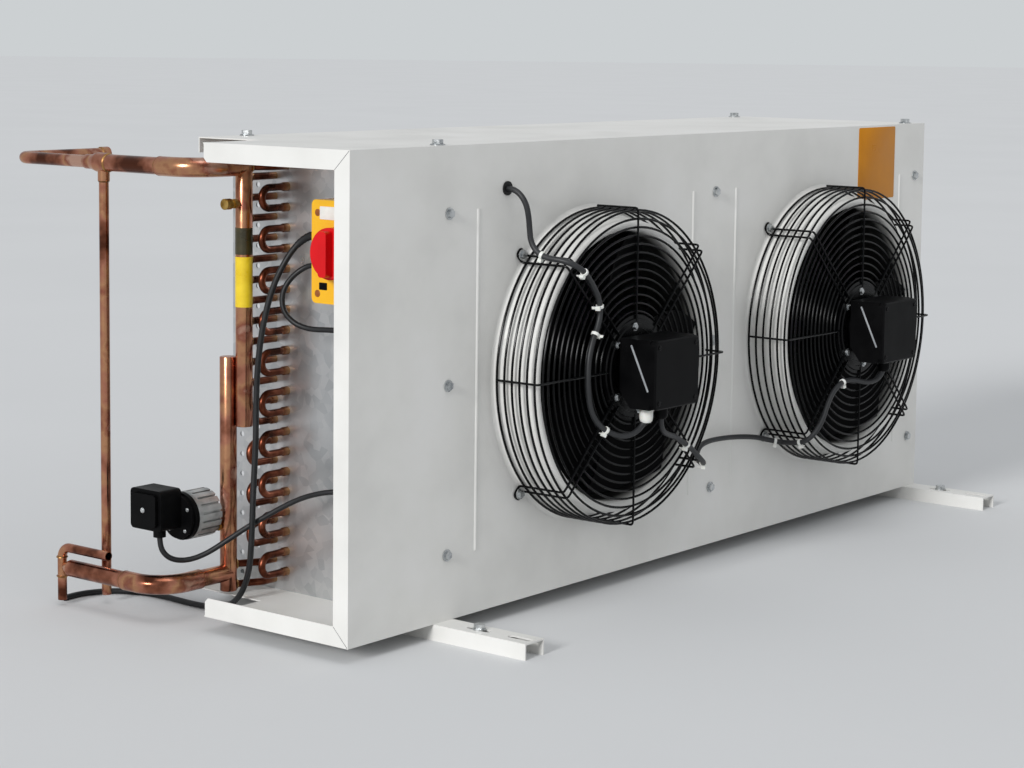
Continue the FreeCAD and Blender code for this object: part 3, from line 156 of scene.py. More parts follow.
mixed = add_node(ring_coat, "ShaderNodeMix", {0: throat_shade.outputs[0], 6: coat,
                                              7: linear("#2A2A29")}, data_type="RGBA")
ring_coat.node_tree.links.new(mixed.outputs[2], shader.inputs["Base Color"])
paint(ring_coat, "fan_nozzles")


# Coil end plates and the middle plate: 2 mm galvanised steel, punched for the tubes and
# screwed into the casing. Hot-dip zinc is bright, with soft-edged crystals of about 12 mm.
galvanised = surface("hot-dip galvanised steel", ("#D2D4D5", "#E4E5E5"), patch=90, grain=2.5,
                     relief=0.03, rough=(0.26, 0.38), Metallic=0.85)
where = add_node(galvanised, "ShaderNodeTexCoord", {}).outputs["Object"]
crystals = add_node(galvanised, "ShaderNodeTexVoronoi", {"Vector": where, "Scale": 1000 / 12})
shades = add_node(galvanised, "ShaderNodeValToRGB", {"Fac": crystals.outputs["Color"]},
                  ((0.2, "#E6E8E9"), (0.8, "#FBFBFB")))
shader = galvanised.node_tree.nodes["Principled BSDF"]
zinc_grey = shader.inputs["Base Color"].links[0].from_socket
mottled = add_node(galvanised, "ShaderNodeMix", {0: 1.0, 6: zinc_grey,
                                                 7: shades.outputs["Color"]},
                   data_type="RGBA", blend_type="MULTIPLY")
galvanised.node_tree.links.new(mottled.outputs[2], shader.inputs["Base Color"])
paint(galvanised, "left_end_plate", "right_end_plate", "centre_partition")


# Straight coil tubes: two rows of 21 copper tubes, 9.5 mm thick, from plate to plate and
# expanded into the fins. They show only where one looks straight through the coil.
def facing(place, direction):
    """The move that takes a part made about Z to a place, with Z along a direction."""
    turn = Vector(direction).to_track_quat("Z", "Y").to_matrix().to_4x4()
    return Matrix.Translation(place) @ turn


def add_copies(whole, shape, places):
    """Adds a copy of a finished shape to a mesh at each place and discards the shape."""
    pattern = bpy.data.meshes.new("pattern")
    shape.to_mesh(pattern)
    shape.free()
    for place in places:
        copy = pattern.copy()
        copy.transform(place)
        whole.from_mesh(copy)
        bpy.data.meshes.remove(copy)
    bpy.data.meshes.remove(pattern)
    return whole


def make_piece(name, shape, material, body="casing", sharp=35):
    """Makes a finished mesh a piece, smooth between its sharp edges, riding on a body."""
    data = bpy.data.meshes.new(name)
    shape.to_mesh(data)
    shape.free()
    data.shade_smooth()
    data.set_sharp_from_angle(angle=math.radians(sharp))
    data.materials.append(material)
    piece = bpy.data.objects.new(name, data)
    bpy.context.scene.collection.objects.link(piece)
    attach(piece, body)
    return piece


def tube_end(column, row):
    """Where a tube meets the left end plate; the back row is half a pitch lower."""
    return at(160, 253 + 21.65 * column, 28 + 26.35 * row - 13.175 * column)


# Hard-drawn copper, handled and heated by brazing: dull pink where it is clean, straw gold
# and dark brown where the torch has been, with soft pale reflections.
pipe_copper = surface("heat-tinted copper pipe",
                      ("#5A3426", "#905A45", "#B87C65", "#C4916C", "#9C604D", "#CDA38F"),
                      patch=60, grain=6, relief=0.05, rough=(0.17, 0.3), Metallic=1.0)
tube_radius = 0.00476
straight_length = 1.189
straight = bmesh.new()
bmesh.ops.create_cone(straight, cap_ends=False, segments=8, radius1=tube_radius,
                      radius2=tube_radius, depth=straight_length,
                      matrix=facing((0.002 + straight_length / 2, 0, 0), (1, 0, 0)))
tubes = add_copies(bmesh.new(), straight, [Matrix.Translation(tube_end(column, row))
                                           for column in range(2) for row in range(21)])
coil_tubes = make_piece("coil_tubes", tubes, pipe_copper)
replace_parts(coil_tubes, "coil_fins")


# Fins: thin aluminium strips pressed onto the tubes 2.4 mm apart. Hands and spanners have
# brushed a few of them over at the faces. They are 0.12 mm thick and drawn at 0.2 mm.
fin_pitch = 0.0024
fin_thickness = 0.0002
bent_share = 0.3
most_bend = 0.0008
bend_reach = 0.04
low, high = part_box("coil_fins")
size = high - low
fin = bmesh.new()
bmesh.ops.create_cube(fin, size=1, matrix=Matrix.Translation(
    (low.x + fin_pitch / 2, (low.y + high.y) / 2, (low.z + high.z) / 2))
    @ Matrix.Diagonal((fin_thickness, size.y, size.z, 1)))
bmesh.ops.subdivide_edges(fin, edges=[edge for edge in fin.edges
                                      if edge.calc_length() > 0.3], cuts=9)
corner_count = len(fin.verts)
fin_count = int(size.x / fin_pitch)
stack = add_copies(bmesh.new(), fin, [Matrix.Translation((step * fin_pitch, 0, 0))
                                      for step in range(fin_count)])
stack.verts.ensure_lookup_table()
random.seed(11)
for step in range(fin_count):
    if random.random() < bent_share:
        level = random.uniform(low.z, high.z)
        face_y = random.choice((low.y, high.y))
        push = random.uniform(-most_bend, most_bend)
        for corner in stack.verts[step * corner_count:(step + 1) * corner_count]:
            if abs(corner.co.y - face_y) < 0.001 and abs(corner.co.z - level) < bend_reach:
                corner.co.x = min(max(corner.co.x + push, low.x), high.x)
# Mill-finish aluminium: bright and a little uneven at the back. Towards the fans the colour is
# darkened to near black as a painted shade, where little light comes between the strips.
fin_aluminium = surface("mill-finish aluminium fin", ("#D3D6D8", "#E2E4E6", "#ECEDEE"),
                        patch=14, grain=3, relief=0.02, rough=(0.36, 0.5), Metallic=0.8)
where = add_node(fin_aluminium, "ShaderNodeTexCoord", {}).outputs["Object"]
depth = add_node(fin_aluminium, "ShaderNodeSeparateXYZ", {"Vector": where}).outputs["Y"]
# Painted shade: the strips' colour is multiplied darker with depth towards the fans.
inward = add_node(fin_aluminium, "ShaderNodeMapRange",
                  {"Value": depth, "From Min": high.y - 0.006, "From Max": low.y + 0.008})
shade = add_node(fin_aluminium, "ShaderNodeValToRGB", {"Fac": inward.outputs["Result"]},
                 ((0.0, "#FFFFFF"), (0.62, "#F2F3F3"), (0.8, "#4A4C4E"), (1.0, "#0E0F10")))
shader = fin_aluminium.node_tree.nodes["Principled BSDF"]
strip_grey = shader.inputs["Base Color"].links[0].from_socket
shaded = add_node(fin_aluminium, "ShaderNodeMix",
                  {0: 1.0, 6: strip_grey, 7: shade.outputs["Color"]},
                  data_type="RGBA", blend_type="MULTIPLY")
fin_aluminium.node_tree.links.new(shaded.outputs[2], shader.inputs["Base Color"])
fin_stack = make_piece("fin_stack", stack, fin_aluminium)
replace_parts(fin_stack, "coil_fins")


# Left hairpins: copper tube bent to a 26 mm U, with both ends belled over the coil tubes
# and brazed. The one beside the upper header is shorter. The bends are brown from the torch,
# and the belled ends are left golden.
def draw_out(shape, ring, shift, widen=1.0):
    """Pulls a ring of edges to a new place and width, and returns the new ring."""
    pulled = bmesh.ops.extrude_edge_only(shape, edges=ring)["geom"]
    corners = [part for part in pulled if isinstance(part, bmesh.types.BMVert)]
    centre = sum((corner.co for corner in corners), Vector()) / len(corners)
    bmesh.ops.scale(shape, vec=(widen,) * 3, space=Matrix.Translation(-centre),
                    verts=corners)
    bmesh.ops.translate(shape, vec=shift, verts=corners)
    return [part for part in pulled if isinstance(part, bmesh.types.BMEdge)
            and all(end in corners for end in part.verts)]


def hairpin(leg):
    """A U of tube about the plate's face: both legs run along -X, one above the other."""
    half_pitch = 0.013175
    bell = 1.22
    bell_length = 0.0099
    pin = bmesh.new()
    start = bmesh.ops.create_circle(pin, segments=14, radius=tube_radius * bell,
                                    matrix=facing((0, 0, -half_pitch), (-1, 0, 0)))["verts"]
    ring = [edge for edge in pin.edges if edge.verts[0] in start]
    for shift, widen in ((-0.0075, 1.0), (-0.0012, 0.97), (-0.0012, 1 / (0.97 * bell)),
                         (bell_length - leg, 1.0)):
        ring = draw_out(pin, ring, (shift, 0, 0), widen)
    corners = list({end for edge in ring for end in edge.verts})
    turned_end = bmesh.ops.spin(pin, geom=corners + ring, cent=(-leg, 0, 0), axis=(0, 1, 0),
                                angle=math.pi, steps=14)["geom_last"]
    ring = [part for part in turned_end if isinstance(part, bmesh.types.BMEdge)]
    for shift, widen in ((leg - bell_length, 1.0), (0.0012, 0.97 * bell), (0.0012, 1 / 0.97),
                         (0.0075, 1.0)):
        ring = draw_out(pin, ring, (shift, 0, 0), widen)
    bmesh.ops.remove_doubles(pin, verts=pin.verts[:], dist=1e-6)
    bmesh.ops.recalc_face_normals(pin, faces=pin.faces[:])
    return pin


def between(first, second):
    """The move that puts a hairpin on the two tube ends that it joins."""
    first, second = tube_end(*first), tube_end(*second)
    tilt = math.atan2(first.y - second.y, second.z - first.z)
    return Matrix.Translation((first + second) / 2) @ Matrix.Rotation(tilt, 4, "X")


long_leg, short_leg = 0.033, 0.0257
bends = bmesh.new()
open_pairs = [((0, row), (0, row + 1)) for row in range(0, 20, 2)]
open_pairs += [((1, row), (1, row + 1)) for row in (2, 4, 6)]
for pairs, leg in ((open_pairs, long_leg), ([((1, 8), (1, 9))], short_leg)):
    add_copies(bends, hairpin(leg), [between(*pair) for pair in pairs])
# Torch-browned copper: golden at the braze, pink for a few millimetres, then dark brown.
bend_copper = surface("torch-browned copper bend", ("#3E231A", "#653626", "#8F5540"),
                      patch=24, grain=5, relief=0.05, rough=(0.24, 0.4), Metallic=1.0)
where = add_node(bend_copper, "ShaderNodeTexCoord", {}).outputs["Object"]
along = add_node(bend_copper, "ShaderNodeSeparateXYZ", {"Vector": where}).outputs["X"]
plate_face = at(160, 0, 0).x
reach = add_node(bend_copper, "ShaderNodeMapRange",
                 {"Value": along, "From Min": plate_face, "From Max": plate_face - 0.018})
braze_tint = add_node(bend_copper, "ShaderNodeValToRGB", {"Fac": reach.outputs["Result"]},
                      ((0.0, "#A37F5A"), (0.45, "#8E6248"), (0.8, "#7C4E3C")))
fade = add_node(bend_copper, "ShaderNodeMapRange",
                {"Value": reach.outputs["Result"], "From Min": 0.45, "From Max": 1.0})
shader = bend_copper.node_tree.nodes["Principled BSDF"]
brown = shader.inputs["Base Color"].links[0].from_socket
mixed = add_node(bend_copper, "ShaderNodeMix",
                 {0: fade.outputs["Result"], 6: braze_tint.outputs["Color"], 7: brown},
                 data_type="RGBA")
bend_copper.node_tree.links.new(mixed.outputs[2], shader.inputs["Base Color"])
left_hairpins = make_piece("left_hairpins", bends, bend_copper)
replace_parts(left_hairpins, "left_return_bends")
paint(bend_copper, "right_return_bends", "upper_feeders", "lower_feeders")


# Headers and service pipes: hard copper pipe with brazed elbows, tees and sockets. The two
# standpipes are closed by spun ends. A bead of silver-brown braze alloy stands at the mouth
# of each socket and round each feeder.
paint(pipe_copper, "inlet_elbow", "outlet_elbow", "inlet_branch", "outlet_branch",
      "inlet_pipe", "inlet_tail", "drop_pipe", "outlet_pipe", "outlet_tail")


def turned(profile, steps=24):
    """A round part: a profile of (radius, height) in millimetres, turned about Z."""
    shape = bmesh.new()
    corners = [shape.verts.new((radius / 1000, 0, height / 1000))
               for radius, height in profile]
    outline = [shape.edges.new(pair) for pair in zip(corners, corners[1:])]
    bmesh.ops.spin(shape, geom=corners + outline, cent=(0, 0, 0), axis=(0, 0, 1),
                   angle=math.tau, steps=steps, use_merge=True)
    bmesh.ops.remove_doubles(shape, verts=shape.verts[:], dist=1e-6)
    bmesh.ops.recalc_face_normals(shape, faces=shape.faces[:])
    return shape


pipe_radius = 11.0
for name, x, y, z, length in (("upper", 104, 274.65, 223, 345.2), ("lower", 97, 296.3, 7, 305)):
    pipe = turned([(0, 0), (pipe_radius - 1.4, 0), (pipe_radius - 0.4, 0.3),
                   (pipe_radius, 1.1), (pipe_radius, length - 1.1),
                   (pipe_radius - 0.4, length - 0.3), (pipe_radius - 1.4, length),
                   (0, length)], 48)
    standpipe = add_copies(bmesh.new(), pipe, [Matrix.Translation(at(x, y, z))])
    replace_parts(make_piece(name + "_standpipe", standpipe, pipe_copper),
                name + "_header")


def bead(pipe, height):
    """The rounded ring of braze round a pipe, standing on what the pipe enters."""
    return turned([(pipe - 0.4, -0.5), (pipe + height, -0.5), (pipe + 0.9 * height, 0.4),
                   (pipe + 0.45 * height, 1.3), (pipe + 0.1, 2.0), (pipe - 0.4, 2.2),
                   (pipe - 0.4, -0.5)], 28)


beads = bmesh.new()
feeder_spots = [facing(at(114.6, 274.65, 14.825 + 26.35 * row), (1, 0, 0))
                for row in range(10, 21)]
feeder_spots += [facing(at(112.8, 268.7, 555), (0.83, -0.56, 0))]
feeder_spots += [facing(at(106.3, 291.2, 14.825 + 26.35 * row), (0.875, -0.483, 0))
                 for row in range(2)]
add_copies(beads, bead(4.76, 2.4), feeder_spots)
add_copies(beads, bead(pipe_radius, 1.6), [
    facing(at(88, 274.65, 556), (1, 0, 0)), facing(at(22, 340.65, 556), (0, 1, 0)),
    facing(at(45, 296.3, 31), (1, 0, 0)), facing(at(-21, 362.3, 31), (0, 1, 0)),
    facing(at(22, 435.25, 556), (0, -1, 0))])
add_copies(beads, bead(6.35, 1.4), [facing(at(22, 445, 532.6), (0, 0, -1))])
add_copies(beads, bead(8.0, 1.4), [facing(at(22, 476.8, 556), (0, 1, 0)),
                                   facing(at(162, 608, 556), (-1, 0, 0))])
add_copies(beads, bead(6.0, 1.6), [facing(at(-21, 482, 43.5), (0, 0, 1)),
                                   facing(at(-21, 482, 18.5), (0, 0, -1))])
# Copper-phosphorus braze: a duller, browner metal than the pipe, with a rough skin.
braze = surface("copper-phosphorus braze", ("#6E4A33", "#A37A4C", "#C49A62"), patch=9,
                grain=1.5, relief=0.12, rough=(0.34, 0.5), Metallic=1.0)
make_piece("braze_beads", beads, braze, sharp=50)


# Header labels: a plain olive band and a plain yellow one, of printed polyester film, stuck
# round the side of the upper header that faces out. They carry nothing.
def wrapped_label(low, high):
    """A film bent round the upper header, facing the service side, between two heights."""
    film = bmesh.new()
    corners = [film.verts.new((0.0112, 0, (height - low) / 1000)) for height in (low, high)]
    edge = film.edges.new(corners)
    bmesh.ops.spin(film, geom=corners + [edge], cent=(0, 0, 0), axis=(0, 0, 1),
                   angle=math.radians(190), steps=20)
    bmesh.ops.rotate(film, cent=(0, 0, 0), verts=film.verts[:],
                     matrix=Matrix.Rotation(math.radians(105), 3, "Z"))
    bmesh.ops.recalc_face_normals(film, faces=film.faces[:])
    bmesh.ops.solidify(film, geom=film.faces[:], thickness=-0.00025)
    return add_copies(bmesh.new(), film, [Matrix.Translation(at(104, 274.65, low))])


# Printed film: flat colour under a clear gloss, with a slightly yellowed patch here and there.
olive_film = surface("olive printed film", ("#2E2A16", "#3B3519"), patch=16, grain=6,
                     relief=0.03, rough=(0.25, 0.34))
yellow_film = surface("yellow printed film", ("#E0BE1A", "#EFD028"), patch=18, grain=6,
                      relief=0.03, rough=(0.25, 0.34))
make_piece("header_label_upper", wrapped_label(444, 478), olive_film)
make_piece("header_label_lower", wrapped_label(377, 441), yellow_film)


# Service valve and the controller's stub: turned brass, screwed into bosses on the headers.
# Brass that has been touched is a duller yellow with brown in its corners.
brass = surface("turned brass", ("#8B6A33", "#B8944E", "#CBAA66"), patch=12, grain=1.2,
                relief=0.02, rough=(0.26, 0.4), Metallic=1.0)
paint(brass, "service_valve", "service_valve_cap", "controller_stub")


# Fan speed controller: a cast aluminium body with cooling ribs, a black moulded cover and a
# square cable plug held by one bright screw, sitting on a stub on the lower header.
def slab(low, high, along, corner, soften=0.0):
    """A box between two places, its corners rounded along one axis and its rims eased."""
    shape = bmesh.new()
    bmesh.ops.create_cube(shape, size=1, matrix=Matrix.Translation((low + high) / 2)
                          @ Matrix.Diagonal((*(high - low), 1)))
    uprights = [edge for edge in shape.edges
                if abs((edge.verts[0].co - edge.verts[1].co).normalized()[along]) > 0.99]
    bmesh.ops.bevel(shape, geom=uprights, offset=corner / 1000, affect="EDGES", segments=5,
                    profile=0.5, material=-1)
    if soften:
        rims = [edge for edge in shape.edges if edge.calc_face_angle(0) > 1.0]
        bmesh.ops.bevel(shape, geom=rims, offset=soften / 1000, affect="EDGES", segments=2,
                        profile=0.5, material=-1)
    bmesh.ops.recalc_face_normals(shape, faces=shape.faces[:])
    return shape


# Sand-cast aluminium: pale matt grey with a coarse skin.
cast_aluminium = surface("sand-cast aluminium", ("#8F9293", "#B4B6B6", "#C4C6C5"), patch=20,
                         grain=1.6, relief=0.1, rough=(0.42, 0.58), Metallic=0.7)
# Glass-filled nylon, black: matt with a fine spark-eroded grain that catches a little light.
black_nylon = surface("black glass-filled nylon", ("#060607", "#0B0B0C"), patch=30, grain=1.2,
                      relief=0.06, rough=(0.36, 0.5), Specular_IOR_Level=0.07)
paint(cast_aluminium, "controller_body")
paint(black_nylon, "controller_cover", "controller_plug")


def cross_screw(radius, height):
    """A round screw head with a cross cut into it, standing on Z = 0."""
    head = turned([(0, height), (0.45 * radius, 0.98 * height), (0.8 * radius, 0.8 * height),
                   (radius, 0.35 * height), (radius, -0.4)], 20)
    for turn in (0, 90):
        bmesh.ops.bisect_plane(head, geom=head.verts[:] + head.edges[:] + head.faces[:],
                               plane_co=(0, 0.14 * radius / 1000, 0), plane_no=(0, 1, 0))
        bmesh.ops.bisect_plane(head, geom=head.verts[:] + head.edges[:] + head.faces[:],
                               plane_co=(0, -0.14 * radius / 1000, 0), plane_no=(0, 1, 0))
        bmesh.ops.rotate(head, cent=(0, 0, 0), verts=head.verts[:],
                         matrix=Matrix.Rotation(math.radians(90), 3, "Z"))
    arm, reach = 0.15 * radius / 1000, 0.62 * radius / 1000
    for corner in head.verts:
        x, y = abs(corner.co.x), abs(corner.co.y)
        if (x < arm and y < reach) or (y < arm and x < reach):
            corner.co.z -= 0.45 * height / 1000
    return head


# Bright zinc plating on screws, bolts and washers: silver with a faint blue and grey cast.
zinc = surface("bright zinc plating", ("#9DA1A3", "#C2C5C6", "#D3D5D5"), patch=8, grain=1.2,
               relief=0.02, rough=(0.22, 0.36), Metallic=1.0)
controller_screws = bmesh.new()
add_copies(controller_screws, cross_screw(3.6, 1.8),
           [facing(at(-9, 342, 122), (-1, 0, 0))])
add_copies(controller_screws, cross_screw(2.6, 1.2),
           [facing(at(31, 322 + 22 * math.cos(turn), 110 + 22 * math.sin(turn)), (-1, 0, 0))
            for turn in (2.6, 4.0, 5.4)])
make_piece("controller_screws", controller_screws, zinc)


# Isolating switch: a yellow moulded base and cover with a red turning knob, screwed to the
# left end plate. Four brown plugs fill the screw wells in the cover's corners, a plain
# white card fills the name frame, and a dark window sits under the knob.

# Gloss ABS: deep, even colour with a sharp highlight and a slight sink in the flat faces.
yellow_abs = surface("yellow gloss ABS", ("#F0AE02", "#F6BC0B"), patch=60, grain=18,
                     relief=0.08, rough=(0.18, 0.26), Coat_Weight=0.2)
red_abs = surface("red gloss ABS", ("#CC0A13", "#DA1018"), patch=40, grain=14, relief=0.08,
                  rough=(0.18, 0.26), Specular_IOR_Level=0.25)
paint(yellow_abs, "switch_base", "switch_cover")
paint(red_abs, "switch_knob")
wells = bmesh.new()
add_copies(wells, turned([(0, 0.5), (2.4, 0.5), (2.9, 0.2), (4.0, 0.25), (4.6, 0.0),
                          (4.6, -0.3)], 22),
           [facing(at(96, y, z), (-1, 0, 0)) for y in (72, 140) for z in (405, 505)])
# Rust-brown polypropylene, plain and slightly waxy.
brown_plug = surface("brown polypropylene", ("#8A4A10", "#A45C16"), patch=6, grain=1.5,
                     relief=0.05, rough=(0.35, 0.5))
make_piece("switch_well_plugs", wells, brown_plug)
card = slab(at(95.4, 112, 497), at(96.2, 136, 513), 0, 1.2, 0.2)
# White card behind clear film.
white_card = surface("white card under film", ("#E4E3DC", "#EFEEE8"), patch=12, grain=4,
                     relief=0.02, rough=(0.3, 0.4))
make_piece("switch_name_card", card, white_card)
window = slab(at(95.4, 124, 410), at(96.2, 137, 419), 0, 1.0, 0.2)
make_piece("switch_window", window, black_nylon)


# Junction box in the left plenum, where the leads meet: a closed grey box, moulded in ABS
# and screwed to the plate. It is seen only through the coil, if at all. Satin, even grey.
grey_abs = surface("grey ABS", ("#6B6D6E", "#77797A"), patch=50, grain=1.5, relief=0.05,
                   rough=(0.4, 0.5))
paint(grey_abs, "junction_box")


# Fan motors and impellers: a black painted die-cast flange and rotor cup carry sickle
# blades moulded in black nylon. The flange is stepped and held to the guard by six bolts.

# Black stoving enamel on castings: satin, nearly black, with a soft uneven skin.
enamel = surface("black stoving enamel", ("#040405", "#080809"), patch=35, grain=4,
                 relief=0.06, rough=(0.2, 0.32), Specular_IOR_Level=0.14)
bolt_circle = 55
bolt_turns = [math.radians(turn) for turn in (38, 96, 142, 218, 276, 322)]
for fan, centre in fan_centres:
    paint(enamel, "fan_%d_stator" % fan, "fan_%d_rotor" % fan)
    paint(black_nylon, "fan_%d_impeller" % fan, "fan_%d_terminal_box" % fan,
          "fan_%d_terminal_lid" % fan)
    steps = turned([(40, 74.2), (51, 74.2), (52, 75.6), (57, 75.6), (58.5, 74.0),
                    (64.5, 74.0), (65.5, 72.2), (69.8, 71.8), (69.8, 69.0)], 64)
    flange = add_copies(bmesh.new(), steps, [facing(at(centre, 0, fan_height), (0, -1, 0))])
    make_piece("fan_%d_flange_steps" % fan, flange, enamel)
    bolts = bmesh.new()
    head = turned([(0, 3.2), (3.4, 3.2), (4.2, 2.4), (4.2, 0.8), (6.0, 0.8), (6.0, -0.6)], 6)
    add_copies(bolts, head, [
        facing(at(centre + bolt_circle * math.cos(turn), -75.4,
                  fan_height + bolt_circle * math.sin(turn)), (0, -1, 0))
        for turn in bolt_turns])
    make_piece("fan_%d_flange_bolts" % fan, bolts, zinc)


# Terminal boxes: black nylon, with four blackened screws in the lid's corners. A rounded bar
# runs on the slant down each side, moulded proud of the wall and coloured pale as a painted
# highlight.
def side_bars(centre):
    """The two slanted bars of one terminal box."""
    half = Vector((0.9, 1.3, 32.3)) / 1000
    bar = slab(-half, half, 0, 1.2, 0.4)
    slant = Matrix.Rotation(math.radians(-25.2), 4, "X")
    return add_copies(bmesh.new(), bar, [Matrix.Translation(at(centre + side, -115.1, 301.6))
                                         @ slant for side in (-50, 50)])


# Painted highlight: the bar is coloured pale grey, so it shows as a light line along its whole
# length.
bar_highlight = surface("nylon bar with a painted highlight", ("#8E9195", "#A3A6A9"), patch=20, grain=3,
                    relief=0.02, rough=(0.16, 0.26))
for fan, centre in fan_centres:
    make_piece("fan_%d_side_bars" % fan, side_bars(centre), bar_highlight)
    lid_screws = add_copies(bmesh.new(), cross_screw(3.2, 1.4), [
        facing(at(centre + x, -140, fan_height + z), (0, -1, 0))
        for x in (-41, 41) for z in (-36, 36)])
    make_piece("fan_%d_lid_screws" % fan, lid_screws, enamel)


# Wire guards: hoops of 3.2 mm steel wire welded to four spokes and to four double arms. Each
# double arm is one wire that runs out, down the side, round the fixing screw and back.
wire_radius = 0.0016
basket_radius = 206
hoop_places = [(basket_radius, -6 - 12 * step) for step in range(6)]
hoop_places += [(basket_radius - 11 * step, -70.4) for step in range(1, 13)]
spoke_route = [(60, -73.6), (100, -73.6), (150, -73.6), (199, -73.6), (209.2, -73.2),
               (209.2, -64), (209.2, -40), (209.2, -20), (209.2, -7.6)]
arm_route = [(60, 6, -73.6), (100, 6, -73.6), (150, 6, -73.6), (199, 6, -73.6),
             (209.2, 6, -73.2), (209.2, 6, -64), (209.2, 6, -36), (209.2, 6, -9),
             (209.4, 6, -2.4), (214, 6, -1.8), (218, 6, -1.8), (224.4, 5.6, -1.8)]
arm_route += [(out, -side, up) for out, side, up in reversed(arm_route)]


def bent_wire(route):
    """A round wire through (out, across, forward) points about the fan's axis, as a mesh."""
    line = bpy.data.curves.new("wire", "CURVE")
    line.dimensions = "3D"
    line.resolution_u = 3
    line.bevel_depth = wire_radius
    line.bevel_resolution = 1
    line.use_fill_caps = True
    run = line.splines.new("NURBS")
    run.points.add(len(route) - 1)
    for point, (out, across, forward) in zip(run.points, route):
        point.co = (out / 1000, forward / 1000, across / 1000, 1.0)
    run.order_u = 3
    run.use_endpoint_u = True
    carrier = bpy.data.objects.new("wire", line)
    bpy.context.scene.collection.objects.link(carrier)
    bpy.context.view_layer.update()
    data = bpy.data.meshes.new_from_object(carrier)
    bpy.data.objects.remove(carrier)
    wire = bmesh.new()
    wire.from_mesh(data)
    bmesh.ops.remove_doubles(wire, verts=wire.verts[:], dist=1e-6)
    bmesh.ops.recalc_face_normals(wire, faces=wire.faces[:])
    return wire


# Gloss black polyester on wire: a thin bright line along each wire and black beside it.
wire_coat = surface("gloss black wire coat", ("#060607", "#0C0D0E"), patch=40, grain=5,
                    relief=0.04, rough=(0.2, 0.3), Specular_IOR_Level=0.15)
for fan, centre in fan_centres:
    guard = bmesh.new()
    for radius, forward in hoop_places:
        bmesh.ops.create_circle(guard, segments=8, radius=wire_radius,
                                matrix=Matrix.Translation((radius / 1000, forward / 1000, 0)))
    bmesh.ops.spin(guard, geom=guard.verts[:] + guard.edges[:], cent=(0, 0, 0),
                   axis=(0, 1, 0), angle=math.tau, steps=96, use_merge=True)
    bmesh.ops.remove_doubles(guard, verts=guard.verts[:], dist=1e-6)
    bmesh.ops.recalc_face_normals(guard, faces=guard.faces[:])
    turns = [Matrix.Rotation(math.radians(turn), 4, "Y") for turn in (0, 90, 180, 270)]
    add_copies(guard, bent_wire([(out, 0, forward) for out, forward in spoke_route]), turns)
    turns = [Matrix.Rotation(math.radians(turn), 4, "Y") for turn in (45, 135, 225, 315)]
    add_copies(guard, bent_wire(arm_route), turns)
    guard.transform(Matrix.Translation(at(centre, 0, fan_height)))
    wire_guard = make_piece("fan_%d_wire_guard" % fan, guard, wire_coat)
    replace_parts(wire_guard, "fan_%d_guard" % fan)


# Cable glands: moulded nylon, a hexagon against the housing and a domed nut that grips the
# cable. The first one under fan 1 is white, as are the cable ties, and the others are black.
def gland(length):
    """A gland of a given length: hexagon at Z = 0, dome at its far end."""
    nut = turned([(4.2, 0), (10.4, 0), (10.4, 4.5), (9.0, 5.2), (4.2, 5.2)], 6)
    body = turned([(9.0, 4.8), (9.0, 0.62 * length), (8.6, 0.8 * length),
                   (7.6, 0.92 * length), (6.0, length), (4.1, length),
                   (4.1, length - 3)], 24)
    return add_copies(nut, body, [Matrix.Identity(4)])


# White nylon: slightly cream, soft and a little translucent-looking at its edges.
white_nylon = surface("white nylon", ("#E2E1DA", "#EEEDE8"), patch=10, grain=1.5, relief=0.04,
                      rough=(0.35, 0.45), Subsurface_Weight=0.05)
fan_gland_places = [facing(at(x, -109.76, 248.5), (0, 0, -1)) for x in (449, 483, 1068)]
first_gland = add_copies(bmesh.new(), gland(20), fan_gland_places[:1])
white_gland = make_piece("white_gland", first_gland, white_nylon)
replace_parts(white_gland, "cable_glands")
others = add_copies(bmesh.new(), gland(19), fan_gland_places[1:])
add_copies(others, gland(16), [facing(at(128, 149.8, z), (0, 1, 0)) for z in (474, 436)])
black_glands = make_piece("black_glands", others, black_nylon)
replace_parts(black_glands, "cable_glands")


# Cables: rubber sheathed. The supply cable comes down from the switch and ends bare on the
# floor; two leads join switch, controller and plenum; two grey ones feed the fans.
def lay_cord(name, radius, material, points):
    """A cable on one smooth line through its route, and the middle line that it follows."""
    line = bpy.data.curves.new(name + "_run", "CURVE")
    line.dimensions = "3D"
    line.resolution_u = 10
    run = line.splines.new("NURBS")
    run.points.add(len(points) - 1)
    for point, place in zip(run.points, points):
        point.co = (*place, 1.0)
    run.order_u = 3
    run.use_endpoint_u = True
    cord = bpy.data.objects.new(name + "_run", line)
    bpy.context.scene.collection.objects.link(cord)
    bpy.context.view_layer.update()
    bare = bpy.data.meshes.new_from_object(cord)
    middle = [corner.co.copy() for corner in bare.vertices]
    bpy.data.meshes.remove(bare)
    line.bevel_depth = radius
    line.bevel_resolution = 3
    line.use_fill_caps = True
    line.materials.append(material)
    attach(cord, "casing")
    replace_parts(cord, name)
    return cord, middle


